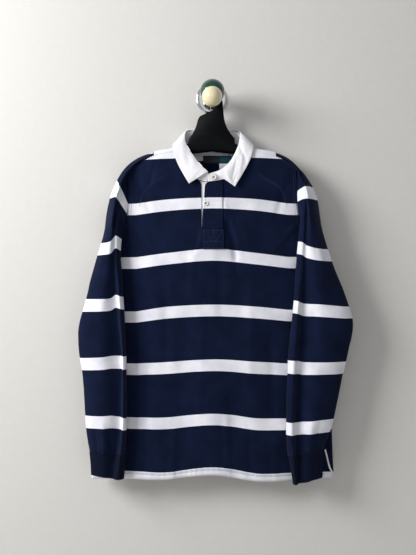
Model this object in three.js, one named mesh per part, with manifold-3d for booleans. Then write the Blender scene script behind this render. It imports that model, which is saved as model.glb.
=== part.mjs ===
// A striped rugby shirt on a black moulded hanger, hung from a round wall hook with two balls.
// Millimetres, +Z up, +X to the right of someone who faces the wall, +Y into the wall.
// The origin is the centre of the wall plate's back face, so everything lies at Y below zero.

import * as THREE from 'three';
import { mergeVertices } from 'three/addons/utils/BufferGeometryUtils.js';
import Module from 'manifold-3d';

const wasm = await Module();
wasm.setup();

// Cloth walls and seams
const jersey = 1.6;
const twill = 1.4;
const seamGap = 0.3;

// The shirt's main levels
const shoulderSeamDrop = 12;
const shoulderRound = 40;
const ridgeY = -37;
const slitBottom = -315;
const neckHalfWidth = 84;
const neckTop = -134;
const neckDrop = 76;
const backNeckTop = -122;
const backNeckDrop = 6;
const bodyHalf = 268;
const bodyMiddle = 4;
const backHem = -907;
const shoulderPoint = { left: -134, right: 153 };

// The wall hook
const plateRadius = 36.7;
const plateThick = 5;
const armRadius = 4.2;
const greenBall = { x: 3, y: -77, z: 0, radius: 28.6 };
const creamBall = { x: 2, y: -127, z: -23, radius: 23 };

// Left and right edge of the front and back panel, from shoulder point down the armhole to the hem
const bodyEdges = [
  { z: -143, left: -134, right: 153 },
  { z: -155, left: -158, right: 176 },
  { z: -165, left: -178, right: 192 },
  { z: -174, left: -189, right: 199 },
  { z: -188, left: -199, right: 202 },
  { z: -214, left: -197, right: 202.5 },
  { z: -257, left: -194, right: 202.5 },
  { z: -300, left: -201, right: 210 },
  { z: -345, left: -224, right: 234 },
  { z: -385, left: -250, right: 262 },
  { z: -450, left: -262, right: 271 },
  { z: -600, left: -271, right: 280 },
  { z: -850, left: -280, right: 288 },
  { z: -915, left: -284, right: 292 },
];

// Top of the shoulder as it lies on the hanger
const shoulderRidge = [
  { x: -160, z: -140 },
  { x: -134, z: -132.5 },
  { x: -104, z: -126.8 },
  { x: -84, z: -122 },
  { x: -60, z: -98 },
  { x: 60, z: -98 },
  { x: 84, z: -122 },
  { x: 103, z: -125.2 },
  { x: 135, z: -130 },
  { x: 153, z: -134.5 },
  { x: 175, z: -142 },
];

// Lower edge of the front, which rises in the middle
const frontHem = [
  { x: -290, z: -909 },
  { x: -190, z: -905.5 },
  { x: -138, z: -907.6 },
  { x: -89, z: -905 },
  { x: -37, z: -898 },
  { x: 14, z: -894.5 },
  { x: 40, z: -898 },
  { x: 64, z: -905 },
  { x: 90, z: -909.5 },
  { x: 127, z: -912 },
  { x: 186, z: -909 },
  { x: 295, z: -905 },
];

// How far the front and back stand off the ridge's plane at each height
const bodyDepth = [
  { z: -119, front: 21, back: 19 },
  { z: -150, front: 26, back: 21 },
  { z: -210, front: 33, back: 23 },
  { z: -320, front: 32, back: 23 },
  { z: -500, front: 28, back: 23 },
  { z: -700, front: 25, back: 22 },
  { z: -915, front: 22, back: 20 },
];

// Soft folds: a line from top to foot, its half width, and how far it rises to the outside
const frontFolds = [
  { x0: 5, z0: -326, x1: 5, z1: -352, width: 30, rise: 4 },
  { x0: 48, z0: -312, x1: 66, z1: -385, width: 13, rise: -5 },
  { x0: -42, z0: -324, x1: -50, z1: -372, width: 12, rise: -3 },
  { x0: 60, z0: -390, x1: 62, z1: -540, width: 20, rise: -3 },
  { x0: 58, z0: -690, x1: 66, z1: -920, width: 20, rise: -6 },
  { x0: 104, z0: -620, x1: 112, z1: -920, width: 26, rise: 5 },
  { x0: 14, z0: -640, x1: 8, z1: -920, width: 30, rise: 4 },
  { x0: -62, z0: -560, x1: -70, z1: -920, width: 26, rise: -4 },
  { x0: -128, z0: -480, x1: -140, z1: -920, width: 30, rise: 4 },
  { x0: -96, z0: -230, x1: -150, z1: -400, width: 22, rise: -2.5 },
  { x0: 118, z0: -240, x1: 150, z1: -420, width: 22, rise: -2.5 },
];
const backFolds = [
  { x0: -70, z0: -260, x1: -92, z1: -920, width: 26, rise: -4 },
  { x0: 34, z0: -420, x1: 30, z1: -920, width: 28, rise: -3.5 },
  { x0: 128, z0: -300, x1: 146, z1: -920, width: 30, rise: -4 },
  { x0: -150, z0: -230, x1: -190, z1: -420, width: 20, rise: -3 },
  { x0: 160, z0: -240, x1: 196, z1: -430, width: 20, rise: -3 },
];

// Each sleeve hangs as a flat tube with a rolled lobe along its front inner edge.
// outer, fold and inner are X at the far edge, the valley and the edge over the body.
// front, valley and lobe are Y on the front side; nearBody and back are Y on the hidden side.
const leftSleeve = {
  side: -1,
  shoulder: { x: -134.9, z: -132.5, reach: 232 },
  rows: [
    { zOut: -290, zIn: -402, outer: -239, fold: -225, inner: -209, seam: -263,
      front: -88, valley: -81, lobe: -83, nearBody: -56, back: -38 },
    { zOut: -352, zIn: -428, outer: -257, fold: -224, inner: -206, seam: -267,
      front: -92, valley: -80, lobe: -86, nearBody: -57, back: -40 },
    { zOut: -410, zIn: -455, outer: -275.5, fold: -223, inner: -203, seam: -268,
      front: -94, valley: -78, lobe: -88, nearBody: -57, back: -45 },
    { zOut: -482, zIn: -486, outer: -293, fold: -221, inner: -201, seam: -258,
      front: -95, valley: -77, lobe: -90, nearBody: -57, back: -48 },
    { zOut: -538, zIn: -538, outer: -310, fold: -216.5, inner: -198.5, seam: -256,
      front: -94, valley: -76, lobe: -90, nearBody: -57, back: -49 },
    { zOut: -578, zIn: -578, outer: -313.5, fold: -212, inner: -198, seam: -254,
      front: -93, valley: -75, lobe: -89, nearBody: -57, back: -49 },
    { zOut: -622, zIn: -620, outer: -309, fold: -209.5, inner: -196, seam: -252,
      front: -91, valley: -74, lobe: -88, nearBody: -57, back: -49 },
    { zOut: -690, zIn: -690, outer: -298.5, fold: -210, inner: -195, seam: -248,
      front: -89, valley: -73, lobe: -87, nearBody: -57, back: -49 },
    { zOut: -756, zIn: -756, outer: -296, fold: -211, inner: -194, seam: -246,
      front: -87, valley: -72, lobe: -86, nearBody: -57, back: -49 },
    { zOut: -802, zIn: -800, outer: -292.5, fold: -214, inner: -195.5, seam: -245,
      front: -86, valley: -71, lobe: -85, nearBody: -57, back: -49 },
    { zOut: -839, zIn: -844, outer: -286, fold: -221, inner: -197.5, seam: -243,
      front: -82, valley: -70, lobe: -83, nearBody: -57, back: -50 },
  ],
  cuff: [
    { zOut: -840, zIn: -845, outer: -284.5, fold: -222, inner: -198, seam: -243,
      front: -80, valley: -71, lobe: -82, nearBody: -57, back: -51 },
    { zOut: -866, zIn: -872, outer: -283, fold: -227, inner: -199, seam: -243,
      front: -79, valley: -71, lobe: -81, nearBody: -57, back: -51 },
    { zOut: -893, zIn: -902, outer: -282, fold: -231, inner: -201.5, seam: -242,
      front: -78, valley: -70, lobe: -80, nearBody: -57, back: -51 },
  ],
};
const rightSleeve = {
  side: 1,
  shoulder: { x: 153.9, z: -134.5, reach: 140 },
  rows: [
    { zOut: -290, zIn: -406, outer: 248, fold: 218, inner: 195, seam: 274,
      front: -88, valley: -81, lobe: -85, nearBody: -58, back: -38 },
    { zOut: -358, zIn: -430, outer: 270, fold: 217.5, inner: 192.5, seam: 277,
      front: -92, valley: -80, lobe: -88, nearBody: -59, back: -40 },
    { zOut: -420, zIn: -456, outer: 291.5, fold: 216, inner: 190, seam: 278,
      front: -95, valley: -79, lobe: -90, nearBody: -60, back: -45 },
    { zOut: -480, zIn: -486, outer: 318, fold: 212.5, inner: 188, seam: 270,
      front: -97, valley: -78, lobe: -92, nearBody: -60, back: -48 },
    { zOut: -533, zIn: -535, outer: 336, fold: 210.5, inner: 183, seam: 268,
      front: -98, valley: -78, lobe: -93, nearBody: -60, back: -49 },
    { zOut: -577, zIn: -577, outer: 328.5, fold: 208.5, inner: 179.5, seam: 262,
      front: -96, valley: -77, lobe: -93, nearBody: -61, back: -49 },
    { zOut: -628, zIn: -628, outer: 319, fold: 205, inner: 175, seam: 256,
      front: -94, valley: -76, lobe: -92, nearBody: -61, back: -49 },
    { zOut: -694, zIn: -694, outer: 300.5, fold: 202, inner: 172, seam: 246,
      front: -91, valley: -75, lobe: -91, nearBody: -61, back: -50 },
    { zOut: -764, zIn: -766, outer: 288, fold: 200, inner: 171, seam: 240,
      front: -89, valley: -74, lobe: -90, nearBody: -61, back: -50 },
    { zOut: -801, zIn: -806, outer: 276, fold: 199, inner: 172.5, seam: 236,
      front: -87, valley: -73, lobe: -88, nearBody: -61, back: -51 },
    { zOut: -832, zIn: -846, outer: 264.5, fold: 201, inner: 177, seam: 233,
      front: -83, valley: -72, lobe: -86, nearBody: -60, back: -52 },
  ],
  cuff: [
    { zOut: -833, zIn: -847, outer: 263, fold: 201.5, inner: 178, seam: 232,
      front: -81, valley: -72, lobe: -84, nearBody: -60, back: -53 },
    { zOut: -866, zIn: -880, outer: 262.3, fold: 203, inner: 184, seam: 231,
      front: -80, valley: -71, lobe: -82, nearBody: -60, back: -53 },
    { zOut: -899, zIn: -914, outer: 261.6, fold: 204.5, inner: 189.5, seam: 231,
      front: -79, valley: -71, lobe: -80, nearBody: -60, back: -53 },
  ],
};

// Where the sleeve starts round the armhole, from the underarm up the front and down the back.
// out, forward and down steer the cloth as it leaves the seam.
const armholeStations = [
  { panel: 'seam', z: -386, clear: 1.8, out: 0.4, forward: 0, down: 0.6, reach: 14, settle: 0.9 },
  { panel: 'front', z: -345, clear: 2.6, out: -0.5, forward: 0.8, down: 0.6, reach: 60, settle: 0.9 },
  { panel: 'front', z: -296, clear: 0.9, out: 0.1, forward: 1, down: 0.5, reach: 70, settle: 0.9 },
  { panel: 'front', z: -246, clear: 0.9, out: 0.9, forward: 0.9, down: 0.5, reach: 80, settle: 0.9 },
  { panel: 'front', z: -204, clear: 0.9, out: 0.9, forward: 0.8, down: 0.4, reach: 110, settle: 0.9 },
  { panel: 'front', z: -170, clear: 0.9, out: 1, forward: 0.55, down: 0.3, reach: 130, settle: 1 },
  { panel: 'front', z: -151, clear: 0.9, out: 1, forward: 0.25, down: 0.2, reach: 170, settle: 1.2 },
  { panel: 'ridge', z: -133, clear: 0.9, out: 1, forward: 0, down: 0.14, reach: 0, settle: 1.4 },
  { panel: 'back', z: -160, clear: 3.1, out: 1, forward: -0.1, down: 0.2, reach: 150, settle: 1.2 },
  { panel: 'back', z: -212, clear: 1.8, out: 1, forward: 0, down: 0.4, reach: 100, settle: 1 },
  { panel: 'back', z: -310, clear: 2.2, out: 1, forward: 0.1, down: 0.5, reach: 60, settle: 0.9 },
];

// The collar, from the left end round the back of the neck to the right end.
// x and z lie on the neck seam, roll is the fold at the top, edge the leaf's outer edge.
// stand is the top of the neckband where it runs on past the leaf, under the button.
const collarStations = [
  { panel: 'front', x: -9.9, z: -210, roll: [-6.6, -76, -188], edge: [-50.7, -79, -214] },
  { panel: 'front', x: -24, z: -207, roll: [-18.5, -74, -176], edge: [-60, -77.5, -199] },
  { panel: 'front', x: -46, z: -197.6, roll: [-33.5, -67, -159], edge: [-69.5, -74.5, -182.5] },
  { panel: 'front', x: -65, z: -182, roll: [-48.5, -57, -136.5], edge: [-80.5, -69.5, -161] },
  { panel: 'front', x: -78, z: -162.2, roll: [-59.5, -45, -114], edge: [-87.5, -61, -137.5] },
  { panel: 'front', x: -84, z: -129, roll: [-61, -33, -95], edge: [-91, -38, -117.5] },
  { panel: 'back', x: -84, z: -122, roll: [-56, -21, -81], edge: [-84, -15, -113] },
  { panel: 'back', x: -44, z: -127, roll: [-34, -13.5, -79], edge: [-50, -6, -130] },
  { panel: 'back', x: 0, z: -128, roll: [3, -12, -81], edge: [3, -4.6, -137] },
  { panel: 'back', x: 44, z: -127, roll: [42, -13.5, -80], edge: [58, -6, -130] },
  { panel: 'back', x: 84, z: -122, roll: [66, -21, -82], edge: [93, -15, -114] },
  { panel: 'front', x: 84, z: -129, roll: [69, -33, -96], edge: [100.5, -38, -118] },
  { panel: 'front', x: 79.5, z: -158.5, roll: [65, -44, -114], edge: [97, -60, -137] },
  { panel: 'front', x: 71, z: -174.6, roll: [57.5, -57, -138], edge: [90.5, -68, -158] },
  { panel: 'front', x: 54, z: -192.2, roll: [47, -66, -158], edge: [77, -74, -183.5] },
  { panel: 'front', x: 33, z: -203.9, roll: [29, -73.5, -178], edge: [65, -77.5, -204] },
  { panel: 'front', x: -8.6, z: -209.6, roll: [8, -76, -189], stand: [-7.5, -76.5, -190],
    edge: [54.5, -79, -220] },
];

// The hanger's shoulder bar, from its left end to its right end
const hangerSections = [
  { x: -196, top: -186, foot: -197, half: 6 },
  { x: -188, top: -176, foot: -201, half: 9 },
  { x: -168, top: -160, foot: -192, half: 11 },
  { x: -138, top: -143, foot: -172, half: 11 },
  { x: -95, top: -134.5, foot: -156, half: 10 },
  { x: -55, top: -115, foot: -140, half: 8 },
  { x: 0, top: -84, foot: -134.5, half: 6.5 },
  { x: 60, top: -116, foot: -140, half: 8 },
  { x: 100, top: -134.5, foot: -156, half: 10 },
  { x: 150, top: -144, foot: -172, half: 11 },
  { x: 182, top: -162, foot: -194, half: 11 },
  { x: 202, top: -178, foot: -203, half: 9 },
  { x: 209, top: -187, foot: -200, half: 6 },
];
const hangerY = -38;
const hangerPlate = 12;

const mix = THREE.MathUtils.lerp;
const vector = (x, y, z) => new THREE.Vector3(x, y, z);

// Smooth value between the rows of a table that is sorted by its key column
function readTable(rows, key, column, at) {
  const rising = rows[1][key] > rows[0][key];
  const order = rising ? rows : [...rows].reverse();
  const last = order.length - 1;
  if (at <= order[0][key]) return order[0][column];
  if (at >= order[last][key]) return order[last][column];
  let low = 0;
  while (order[low + 1][key] < at) low += 1;
  const slope = (index) => {
    const before = order[Math.max(index - 1, 0)];
    const after = order[Math.min(index + 1, last)];
    return (after[column] - before[column]) / (after[key] - before[key]);
  };
  const span = order[low + 1][key] - order[low][key];
  const t = (at - order[low][key]) / span;
  const a = order[low][column];
  const b = order[low + 1][column];
  const rise = b - a;
  const startSlope = slope(low) * span;
  const endSlope = slope(low + 1) * span;
  return a + startSlope * t + (3 * rise - 2 * startSlope - endSlope) * t * t
    + (startSlope + endSlope - 2 * rise) * t * t * t;
}

const edgeAt = (z, column) => readTable(bodyEdges, 'z', column, z);
const ridgeAt = (x) => readTable(shoulderRidge, 'x', 'z', x);
const hemAt = (x) => readTable(frontHem, 'x', 'z', x);

// Sum of the soft folds at a point, as a rise to the outside
function foldRise(folds, x, z) {
  let rise = 0;
  for (const fold of folds) {
    const dx = fold.x1 - fold.x0;
    const dz = fold.z1 - fold.z0;
    const along = ((x - fold.x0) * dx + (z - fold.z0) * dz) / (dx * dx + dz * dz);
    const held = THREE.MathUtils.clamp(along, 0, 1);
    const away = Math.hypot(x - fold.x0 - held * dx, z - fold.z0 - held * dz) / fold.width;
    rise += fold.rise * Math.exp(-away * away);
  }
  return rise;
}

// A quarter round that turns the cloth over the hanger
function shoulderTurn(x, z) {
  const below = THREE.MathUtils.clamp((ridgeAt(x) - z) / shoulderRound, 0, 1);
  return Math.sqrt(1 - (1 - below) * (1 - below));
}

function frontPoint(x, z) {
  const across = Math.min(Math.abs((x - bodyMiddle) / bodyHalf), 1);
  const crown = 1 - Math.pow(across, 2.5);
  const depth = readTable(bodyDepth, 'z', 'front', z) * crown + foldRise(frontFolds, x, z) * crown;
  return vector(x, ridgeY - jersey - seamGap / 2 - depth * shoulderTurn(x, z), z);
}

function backPoint(x, z) {
  const across = Math.min(Math.abs((x - bodyMiddle) / bodyHalf), 1);
  const crown = 1 - Math.pow(across, 4);
  const depth = readTable(bodyDepth, 'z', 'back', z) * crown + foldRise(backFolds, x, z) * crown;
  return vector(x, ridgeY + jersey + seamGap / 2 + depth * shoulderTurn(x, z), z);
}

// Points and quads of one sheet; patches that share points are joined
class Sheet {
  constructor() {
    this.points = [];
    this.quads = [];
    this.names = new Map();
  }

  point(place) {
    const name = [place.x, place.y, place.z].map((value) => value.toFixed(3)).join(' ');
    if (!this.names.has(name)) {
      this.names.set(name, this.points.length);
      this.points.push(place);
    }
    return this.names.get(name);
  }

  patch(columns, rows, placeAt) {
    const grid = [];
    for (let row = 0; row <= rows; row += 1) {
      grid.push([]);
      for (let column = 0; column <= columns; column += 1) {
        grid[row].push(this.point(placeAt(column / columns, row / rows)));
      }
    }
    for (let row = 0; row < rows; row += 1) {
      for (let column = 0; column < columns; column += 1) {
        this.quads.push([
          grid[row][column], grid[row][column + 1], grid[row + 1][column + 1], grid[row + 1][column],
        ]);
      }
    }
    return grid;
  }

  normals() {
    const normals = this.points.map(() => vector(0, 0, 0));
    for (const quad of this.quads) {
      const [a, b, c, d] = quad.map((index) => this.points[index]);
      const face = c.clone().sub(a).cross(d.clone().sub(b));
      for (const index of quad) normals[index].add(face);
    }
    return normals.map((normal) => normal.normalize());
  }

  // A closed wall: the sheet is its outer face, and the inner one lies a thickness behind
  wall(thickness, bend) {
    const normals = this.normals();
    if (bend) bend(normals);
    const inner = this.points.map((place, index) => place.clone().addScaledVector(normals[index], -thickness));
    const count = this.points.length;
    const triangles = [];
    const edges = new Map();
    for (const [a, b, c, d] of this.quads) {
      triangles.push([a, b, c], [a, c, d]);
      triangles.push([a + count, c + count, b + count], [a + count, d + count, c + count]);
      for (const [from, to] of [[a, b], [b, c], [c, d], [d, a]]) {
        if (edges.has(to + ' ' + from)) edges.delete(to + ' ' + from);
        else edges.set(from + ' ' + to, [from, to]);
      }
    }
    for (const [from, to] of edges.values()) {
      triangles.push([to, from, from + count], [to, from + count, to + count]);
    }
    return solidOf([...this.points, ...inner], triangles);
  }
}

function solidOf(points, triangles) {
  const geometry = new THREE.BufferGeometry();
  const numbers = points.flatMap((place) => [place.x, place.y, place.z]);
  geometry.setAttribute('position', new THREE.Float32BufferAttribute(numbers, 3));
  const real = triangles.filter(([a, b, c]) => a !== b && b !== c && a !== c);
  geometry.setIndex(real.flat());
  return geometry;
}

// Front panel: two upper halves beside the placket slit, and the skirt below it
const slitLeft = -22.6;
const slitRightFoot = -21.4;
const slitRightTop = -14;
const neckStart = { left: Math.asin(slitLeft / neckHalfWidth), right: Math.asin(slitRightTop / neckHalfWidth) };

function neckLine(angle) {
  return { x: neckHalfWidth * Math.sin(angle), z: neckTop - neckDrop * Math.cos(angle) };
}

function frontInnerEdge(side, v) {
  const startAngle = side < 0 ? neckStart.left : neckStart.right;
  if (v <= 0.5) {
    const t = v / 0.5;
    const foot = side < 0 ? slitLeft : slitRightFoot;
    const top = neckLine(startAngle);
    return { x: mix(foot, top.x, t), z: mix(slitBottom, top.z, t) };
  }
  const t = (v - 0.5) / 0.5;
  return neckLine(mix(startAngle, side * Math.PI / 2, t));
}

function frontOuterEdge(side, v) {
  const column = side < 0 ? 'left' : 'right';
  const top = ridgeAt(shoulderPoint[column]) - shoulderSeamDrop;
  const z = v <= 0.5 ? mix(slitBottom, -236, v / 0.5) : mix(-236, top, (v - 0.5) / 0.5);
  return { x: edgeAt(z, column), z };
}

// Columns lie closer together beside the placket
function outerShare(u) {
  return u ** 1.6;
}

function frontUpper(side) {
  return (u, v) => {
    const inner = frontInnerEdge(side, v);
    const outer = frontOuterEdge(side, v);
    const t = side < 0 ? outerShare(1 - u) : outerShare(u);
    const seamInner = frontInnerEdge(side, 1);
    const seamOuter = frontOuterEdge(side, 1);
    const seamX = mix(seamInner.x, seamOuter.x, t);
    const seamLift = ridgeAt(seamX) - shoulderSeamDrop - mix(seamInner.z, seamOuter.z, t);
    return frontPoint(mix(inner.x, outer.x, t), mix(inner.z, outer.z, t) + seamLift * v ** 3 - seamGap);
  };
}

function makeFront() {
  const sheet = new Sheet();
  const across = 9;
  const upperRows = 14;
  const skirtRows = 16;
  const foot = slitBottom - seamGap;
  sheet.patch(across, upperRows, frontUpper(-1));
  sheet.patch(across, upperRows, frontUpper(1));
  const left = edgeAt(slitBottom, 'left');
  const right = edgeAt(slitBottom, 'right');
  const topX = [];
  for (let column = 0; column <= across; column += 1) {
    topX.push(mix(slitLeft, left, outerShare(1 - column / across)));
  }
  for (let column = 0; column <= across; column += 1) {
    topX.push(mix(slitRightFoot, right, outerShare(column / across)));
  }
  sheet.patch(topX.length - 1, skirtRows, (u, v) => {
    const start = topX[Math.round(u * (topX.length - 1))];
    const share = (start - left) / (right - left);
    const down = (1 - v) ** 1.4;
    const levelX = (z) => mix(edgeAt(z, 'left'), edgeAt(z, 'right'), share);
    const z = mix(foot, hemAt(levelX(backHem)), down);
    return frontPoint(down === 0 ? start : levelX(z), z);
  });
  return sheet.wall(jersey);
}

// Back panel: up the back, over the ridge and down to the shoulder seam in front
const yokeFoot = -215;
const shoulderColumns = 5;
const neckColumns = 4;

function backTopLine(u) {
  const share = shoulderColumns / (2 * shoulderColumns + neckColumns);
  if (u <= share) {
    const x = mix(shoulderPoint.right, neckHalfWidth, u / share);
    return { x, z: ridgeAt(x) };
  }
  if (u >= 1 - share) {
    const x = mix(-neckHalfWidth, shoulderPoint.left, (u - 1 + share) / share);
    return { x, z: ridgeAt(x) };
  }
  const angle = mix(-Math.PI / 2, Math.PI / 2, (u - share) / (1 - 2 * share));
  return { x: -neckHalfWidth * Math.sin(angle), z: backNeckTop - backNeckDrop * Math.cos(angle) };
}

function armholeSide(column, v) {
  const z = mix(yokeFoot, ridgeAt(shoulderPoint[column]), v);
  return { x: edgeAt(Math.min(z, -143), column), z };
}

// A flat patch between a foot line, a top line and two side lines
function backYoke(u, v) {
  const foot = { x: mix(edgeAt(yokeFoot, 'right'), edgeAt(yokeFoot, 'left'), u), z: yokeFoot };
  const top = backTopLine(u);
  const right = armholeSide('right', v);
  const left = armholeSide('left', v);
  const corners = [armholeSide('right', 0), armholeSide('left', 0), backTopLine(0), backTopLine(1)];
  const blend = (axis) => mix(foot[axis], top[axis], v) + mix(right[axis], left[axis], u)
    - mix(mix(corners[0][axis], corners[1][axis], u), mix(corners[2][axis], corners[3][axis], u), v);
  return { x: blend('x'), z: blend('z') };
}

function makeBack() {
  const sheet = new Sheet();
  const columns = 2 * shoulderColumns + neckColumns;
  sheet.patch(columns, 15, (u, v) => {
    const z = mix(backHem, yokeFoot, v);
    return backPoint(mix(edgeAt(z, 'right'), edgeAt(z, 'left'), u), z);
  });
  sheet.patch(columns, 6, (u, v) => {
    const place = backYoke(u, 1 - (1 - v) * (1 - v) * 0.4 - (1 - v) * 0.6);
    return backPoint(place.x, place.z);
  });
  const share = shoulderColumns / columns;
  for (const start of [0, 1 - share]) {
    sheet.patch(shoulderColumns, 3, (u, v) => {
      const place = backTopLine(start + u * share);
      if (v === 0) return backPoint(place.x, place.z);
      const drop = [0, 0.6, 4.5, shoulderSeamDrop - seamGap][Math.round(v * 3)];
      return frontPoint(place.x, place.z - drop);
    });
  }
  return sheet.wall(jersey);
}

// One cross-section of a sleeve, from the underarm seam round the front to the back
function sleeveStations(row) {
  const { outer, fold, inner, seam, front, valley, lobe, nearBody, back } = row;
  const near = (share) => mix(inner, seam, share);
  const height = (share) => mix(row.zIn, row.zOut, share);
  return [
    vector(seam, back, height(0.1)),
    vector(near(0.5), mix(back, nearBody, 0.75), height(0)),
    vector(near(0.1), nearBody, height(0)),
    vector(mix(inner, fold, 0.12), mix(nearBody, lobe, 0.6), height(0)),
    vector(mix(inner, fold, 0.55), lobe, height(0)),
    vector(fold, valley, height(0.15)),
    vector(mix(fold, outer, 0.42), front, height(0.6)),
    vector(outer, mix(front, back, 0.55), height(1)),
    vector(mix(outer, seam, 0.35), mix(front, back, 0.86), height(0.9)),
    vector(mix(outer, seam, 0.6), back, height(0.6)),
    vector(mix(outer, seam, 0.85), back + 0.5, height(0.3)),
  ];
}

// A value of the armhole table between two stations, round and round
function stationValue(column, at) {
  const count = armholeStations.length;
  const low = Math.floor(at) % count;
  return mix(armholeStations[low][column], armholeStations[(low + 1) % count][column], at - Math.floor(at));
}

// A point of the armhole and the way the cloth leaves it
const underarm = armholeStations.findIndex((station) => station.panel === 'seam');
const shoulderStation = armholeStations.findIndex((station) => station.panel === 'ridge');

function armholePoint(sleeve, at) {
  const column = sleeve.side < 0 ? 'left' : 'right';
  const z = stationValue('z', at);
  const edgeX = edgeAt(Math.min(z, bodyEdges[0].z), column);
  const seamX = edgeX + stationValue('clear', at) * sleeve.side;
  let place = vector(sleeve.shoulder.x, ridgeY, sleeve.shoulder.z);
  if (at === underarm) place = vector(seamX, ridgeY, z);
  else if (at < shoulderStation) place = frontPoint(seamX, z);
  else if (at > shoulderStation) place = backPoint(seamX, z);
  const reach = at === shoulderStation ? sleeve.shoulder.reach : stationValue('reach', at);
  const nearRidge = Math.abs(at - shoulderStation) < 1 && at !== shoulderStation;
  const leave = vector(
    stationValue('out', at) * sleeve.side, -stationValue('forward', at), -stationValue('down', at),
  ).normalize().multiplyScalar(nearRidge ? (reach + sleeve.shoulder.reach) / 2 + 20 : reach);
  return { place, leave, settle: stationValue('settle', at) };
}

function closedLine(places) {
  return new THREE.CatmullRomCurve3(places, true, 'centripetal');
}

// A point of the sleeve head, between the armhole and the first free row
function headPoint(start, end, t) {
  const drop = start.place.distanceTo(end) * start.settle;
  return start.place.clone().multiplyScalar(2 * t ** 3 - 3 * t ** 2 + 1)
    .addScaledVector(start.leave, t ** 3 - 2 * t ** 2 + t)
    .addScaledVector(end, -2 * t ** 3 + 3 * t ** 2)
    .addScaledVector(vector(0, 0, -drop), t ** 3 - t ** 2);
}

const sleeveColumns = armholeStations.length * 3;
const headRows = 6;

// A cloth tube from its top row to its foot; bend turns the normals that the wall is thickened along
function tubeWall(rows, placeAt, side, bend) {
  const sheet = new Sheet();
  sheet.patch(sleeveColumns, rows, (u, v) => {
    const turn = (side < 0 ? u : 1 - u) % 1;
    return placeAt(turn, Math.round(v * rows));
  });
  return sheet.wall(jersey, bend);
}

function makeSleeve(sleeve) {
  const lines = sleeve.rows.map((row) => closedLine(sleeveStations(row)));
  const stations = armholeStations.length;
  const rows = headRows + lines.length - 1;
  return tubeWall(rows, (turn, row) => {
    if (row >= headRows) return lines[row - headRows].getPoint(turn);
    const start = armholePoint(sleeve, Math.round(turn * sleeveColumns) * stations / sleeveColumns);
    return headPoint(start, lines[0].getPoint(turn), row / headRows);
  }, sleeve.side, (normals) => {
    for (let index = 0; index < sleeveColumns; index += 1) {
      if (normals[index].x * sleeve.side > 0) normals[index].setX(0).normalize();
    }
  });
}

function makeCuff(sleeve) {
  const lines = sleeve.cuff.map((row) => closedLine(sleeveStations(row)));
  const sleeveEnd = closedLine(sleeveStations(sleeve.rows[sleeve.rows.length - 1]));
  return tubeWall(lines.length - 1, (turn, row) => {
    if (row > 0) return lines[row].getPoint(turn);
    const place = sleeveEnd.getPoint(turn);
    return place.setZ(place.z - seamGap);
  }, sleeve.side);
}

// Smooth lines of the collar, from its left end at 0 to its right end at 1
const neckSeamClear = 0.9;
const neckPointClear = 1.9;
const neckPointX = 80;

function neckSeamPoint(row) {
  const place = row.panel === 'front' ? frontPoint(row.x, row.z) : backPoint(row.x, row.z);
  const inward = vector(-row.x, 0, neckTop + 20 - row.z).normalize();
  return place.addScaledVector(inward, Math.abs(row.x) > neckPointX ? neckPointClear : neckSeamClear);
}

function collarLine(places) {
  return new THREE.CatmullRomCurve3(places, false, 'centripetal');
}

const collarLines = {
  base: collarLine(collarStations.map(neckSeamPoint)),
  roll: collarLine(collarStations.map((row) => vector(...row.roll))),
  stand: collarLine(collarStations.map((row) => vector(...(row.stand ?? row.roll)))),
  edge: collarLine(collarStations.map((row) => vector(...row.edge))),
};
const collarColumns = collarStations.length + 7;

// The way that the outer side of the collar faces
function collarOut(u) {
  const rise = collarLines.roll.getPoint(u).sub(collarLines.base.getPoint(u));
  return rise.cross(collarLines.roll.getTangent(u)).normalize();
}

function makeNeckband() {
  const sheet = new Sheet();
  const hidden = twill + seamGap;
  const bandShare = 0.94;
  sheet.patch(collarColumns, 3, (u, v) => {
    const base = collarLines.base.getPoint(u);
    const stand = collarLines.stand.getPoint(u);
    const place = base.clone().lerp(stand, v * bandShare);
    return place.addScaledVector(collarOut(u), -hidden * v);
  });
  return sheet.wall(twill);
}

function makeCollarLeaf() {
  const sheet = new Sheet();
  const swell = 3.5;
  const leafClear = 2.2;
  sheet.patch(collarColumns, 5, (u, v) => {
    const roll = collarLines.roll.getPoint(u);
    const edge = collarLines.edge.getPoint(u);
    const bulge = swell * Math.sin(Math.PI * Math.sqrt(v));
    const place = roll.clone().lerp(edge, v).addScaledVector(collarOut(u), bulge + leafClear);
    place.z += leafClear * (1 - v);
    return place;
  });
  return sheet.wall(twill);
}

// A strip that lies on the front panel, moved out to the given height above it
function frontStrip(outline, columns, rows, height, thickness) {
  const sheet = new Sheet();
  sheet.patch(columns, rows, (u, v) => {
    const { x, z } = outline(u, v);
    const place = frontPoint(x, z);
    place.y -= height;
    return place;
  });
  return sheet.wall(thickness);
}

const placketFoot = -318;
const flyWidth = { left: -21, leftTop: -8.7, right: 27 };
const underWidth = { left: -32, right: 6 };
const patchSize = { left: -20, right: 30, foot: -366 };
const underInset = jersey + 0.9;

// Top of the placket, just under the neck seam
function placketTop(x) {
  return neckTop - neckDrop * Math.sqrt(1 - (x / neckHalfWidth) ** 2) - 2 * seamGap;
}

function makePlacketOver() {
  return frontStrip((u, v) => {
    const x = mix(mix(flyWidth.left, flyWidth.leftTop, v ** 2.2), flyWidth.right, u);
    return { x, z: mix(placketFoot, placketTop(x), v) };
  }, 4, 8, seamGap + twill, twill);
}

function makePlacketUnder() {
  return frontStrip((u, v) => {
    const x = mix(underWidth.left, underWidth.right, u);
    return { x, z: mix(placketFoot, placketTop(x), v) };
  }, 3, 8, -underInset, twill);
}

function makeThroatPatch() {
  return frontStrip((u, v) => ({
    x: mix(patchSize.left, patchSize.right, u),
    z: mix(patchSize.foot, placketFoot - 2 * seamGap, v),
  }), 5, 4, seamGap + twill, twill);
}

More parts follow.
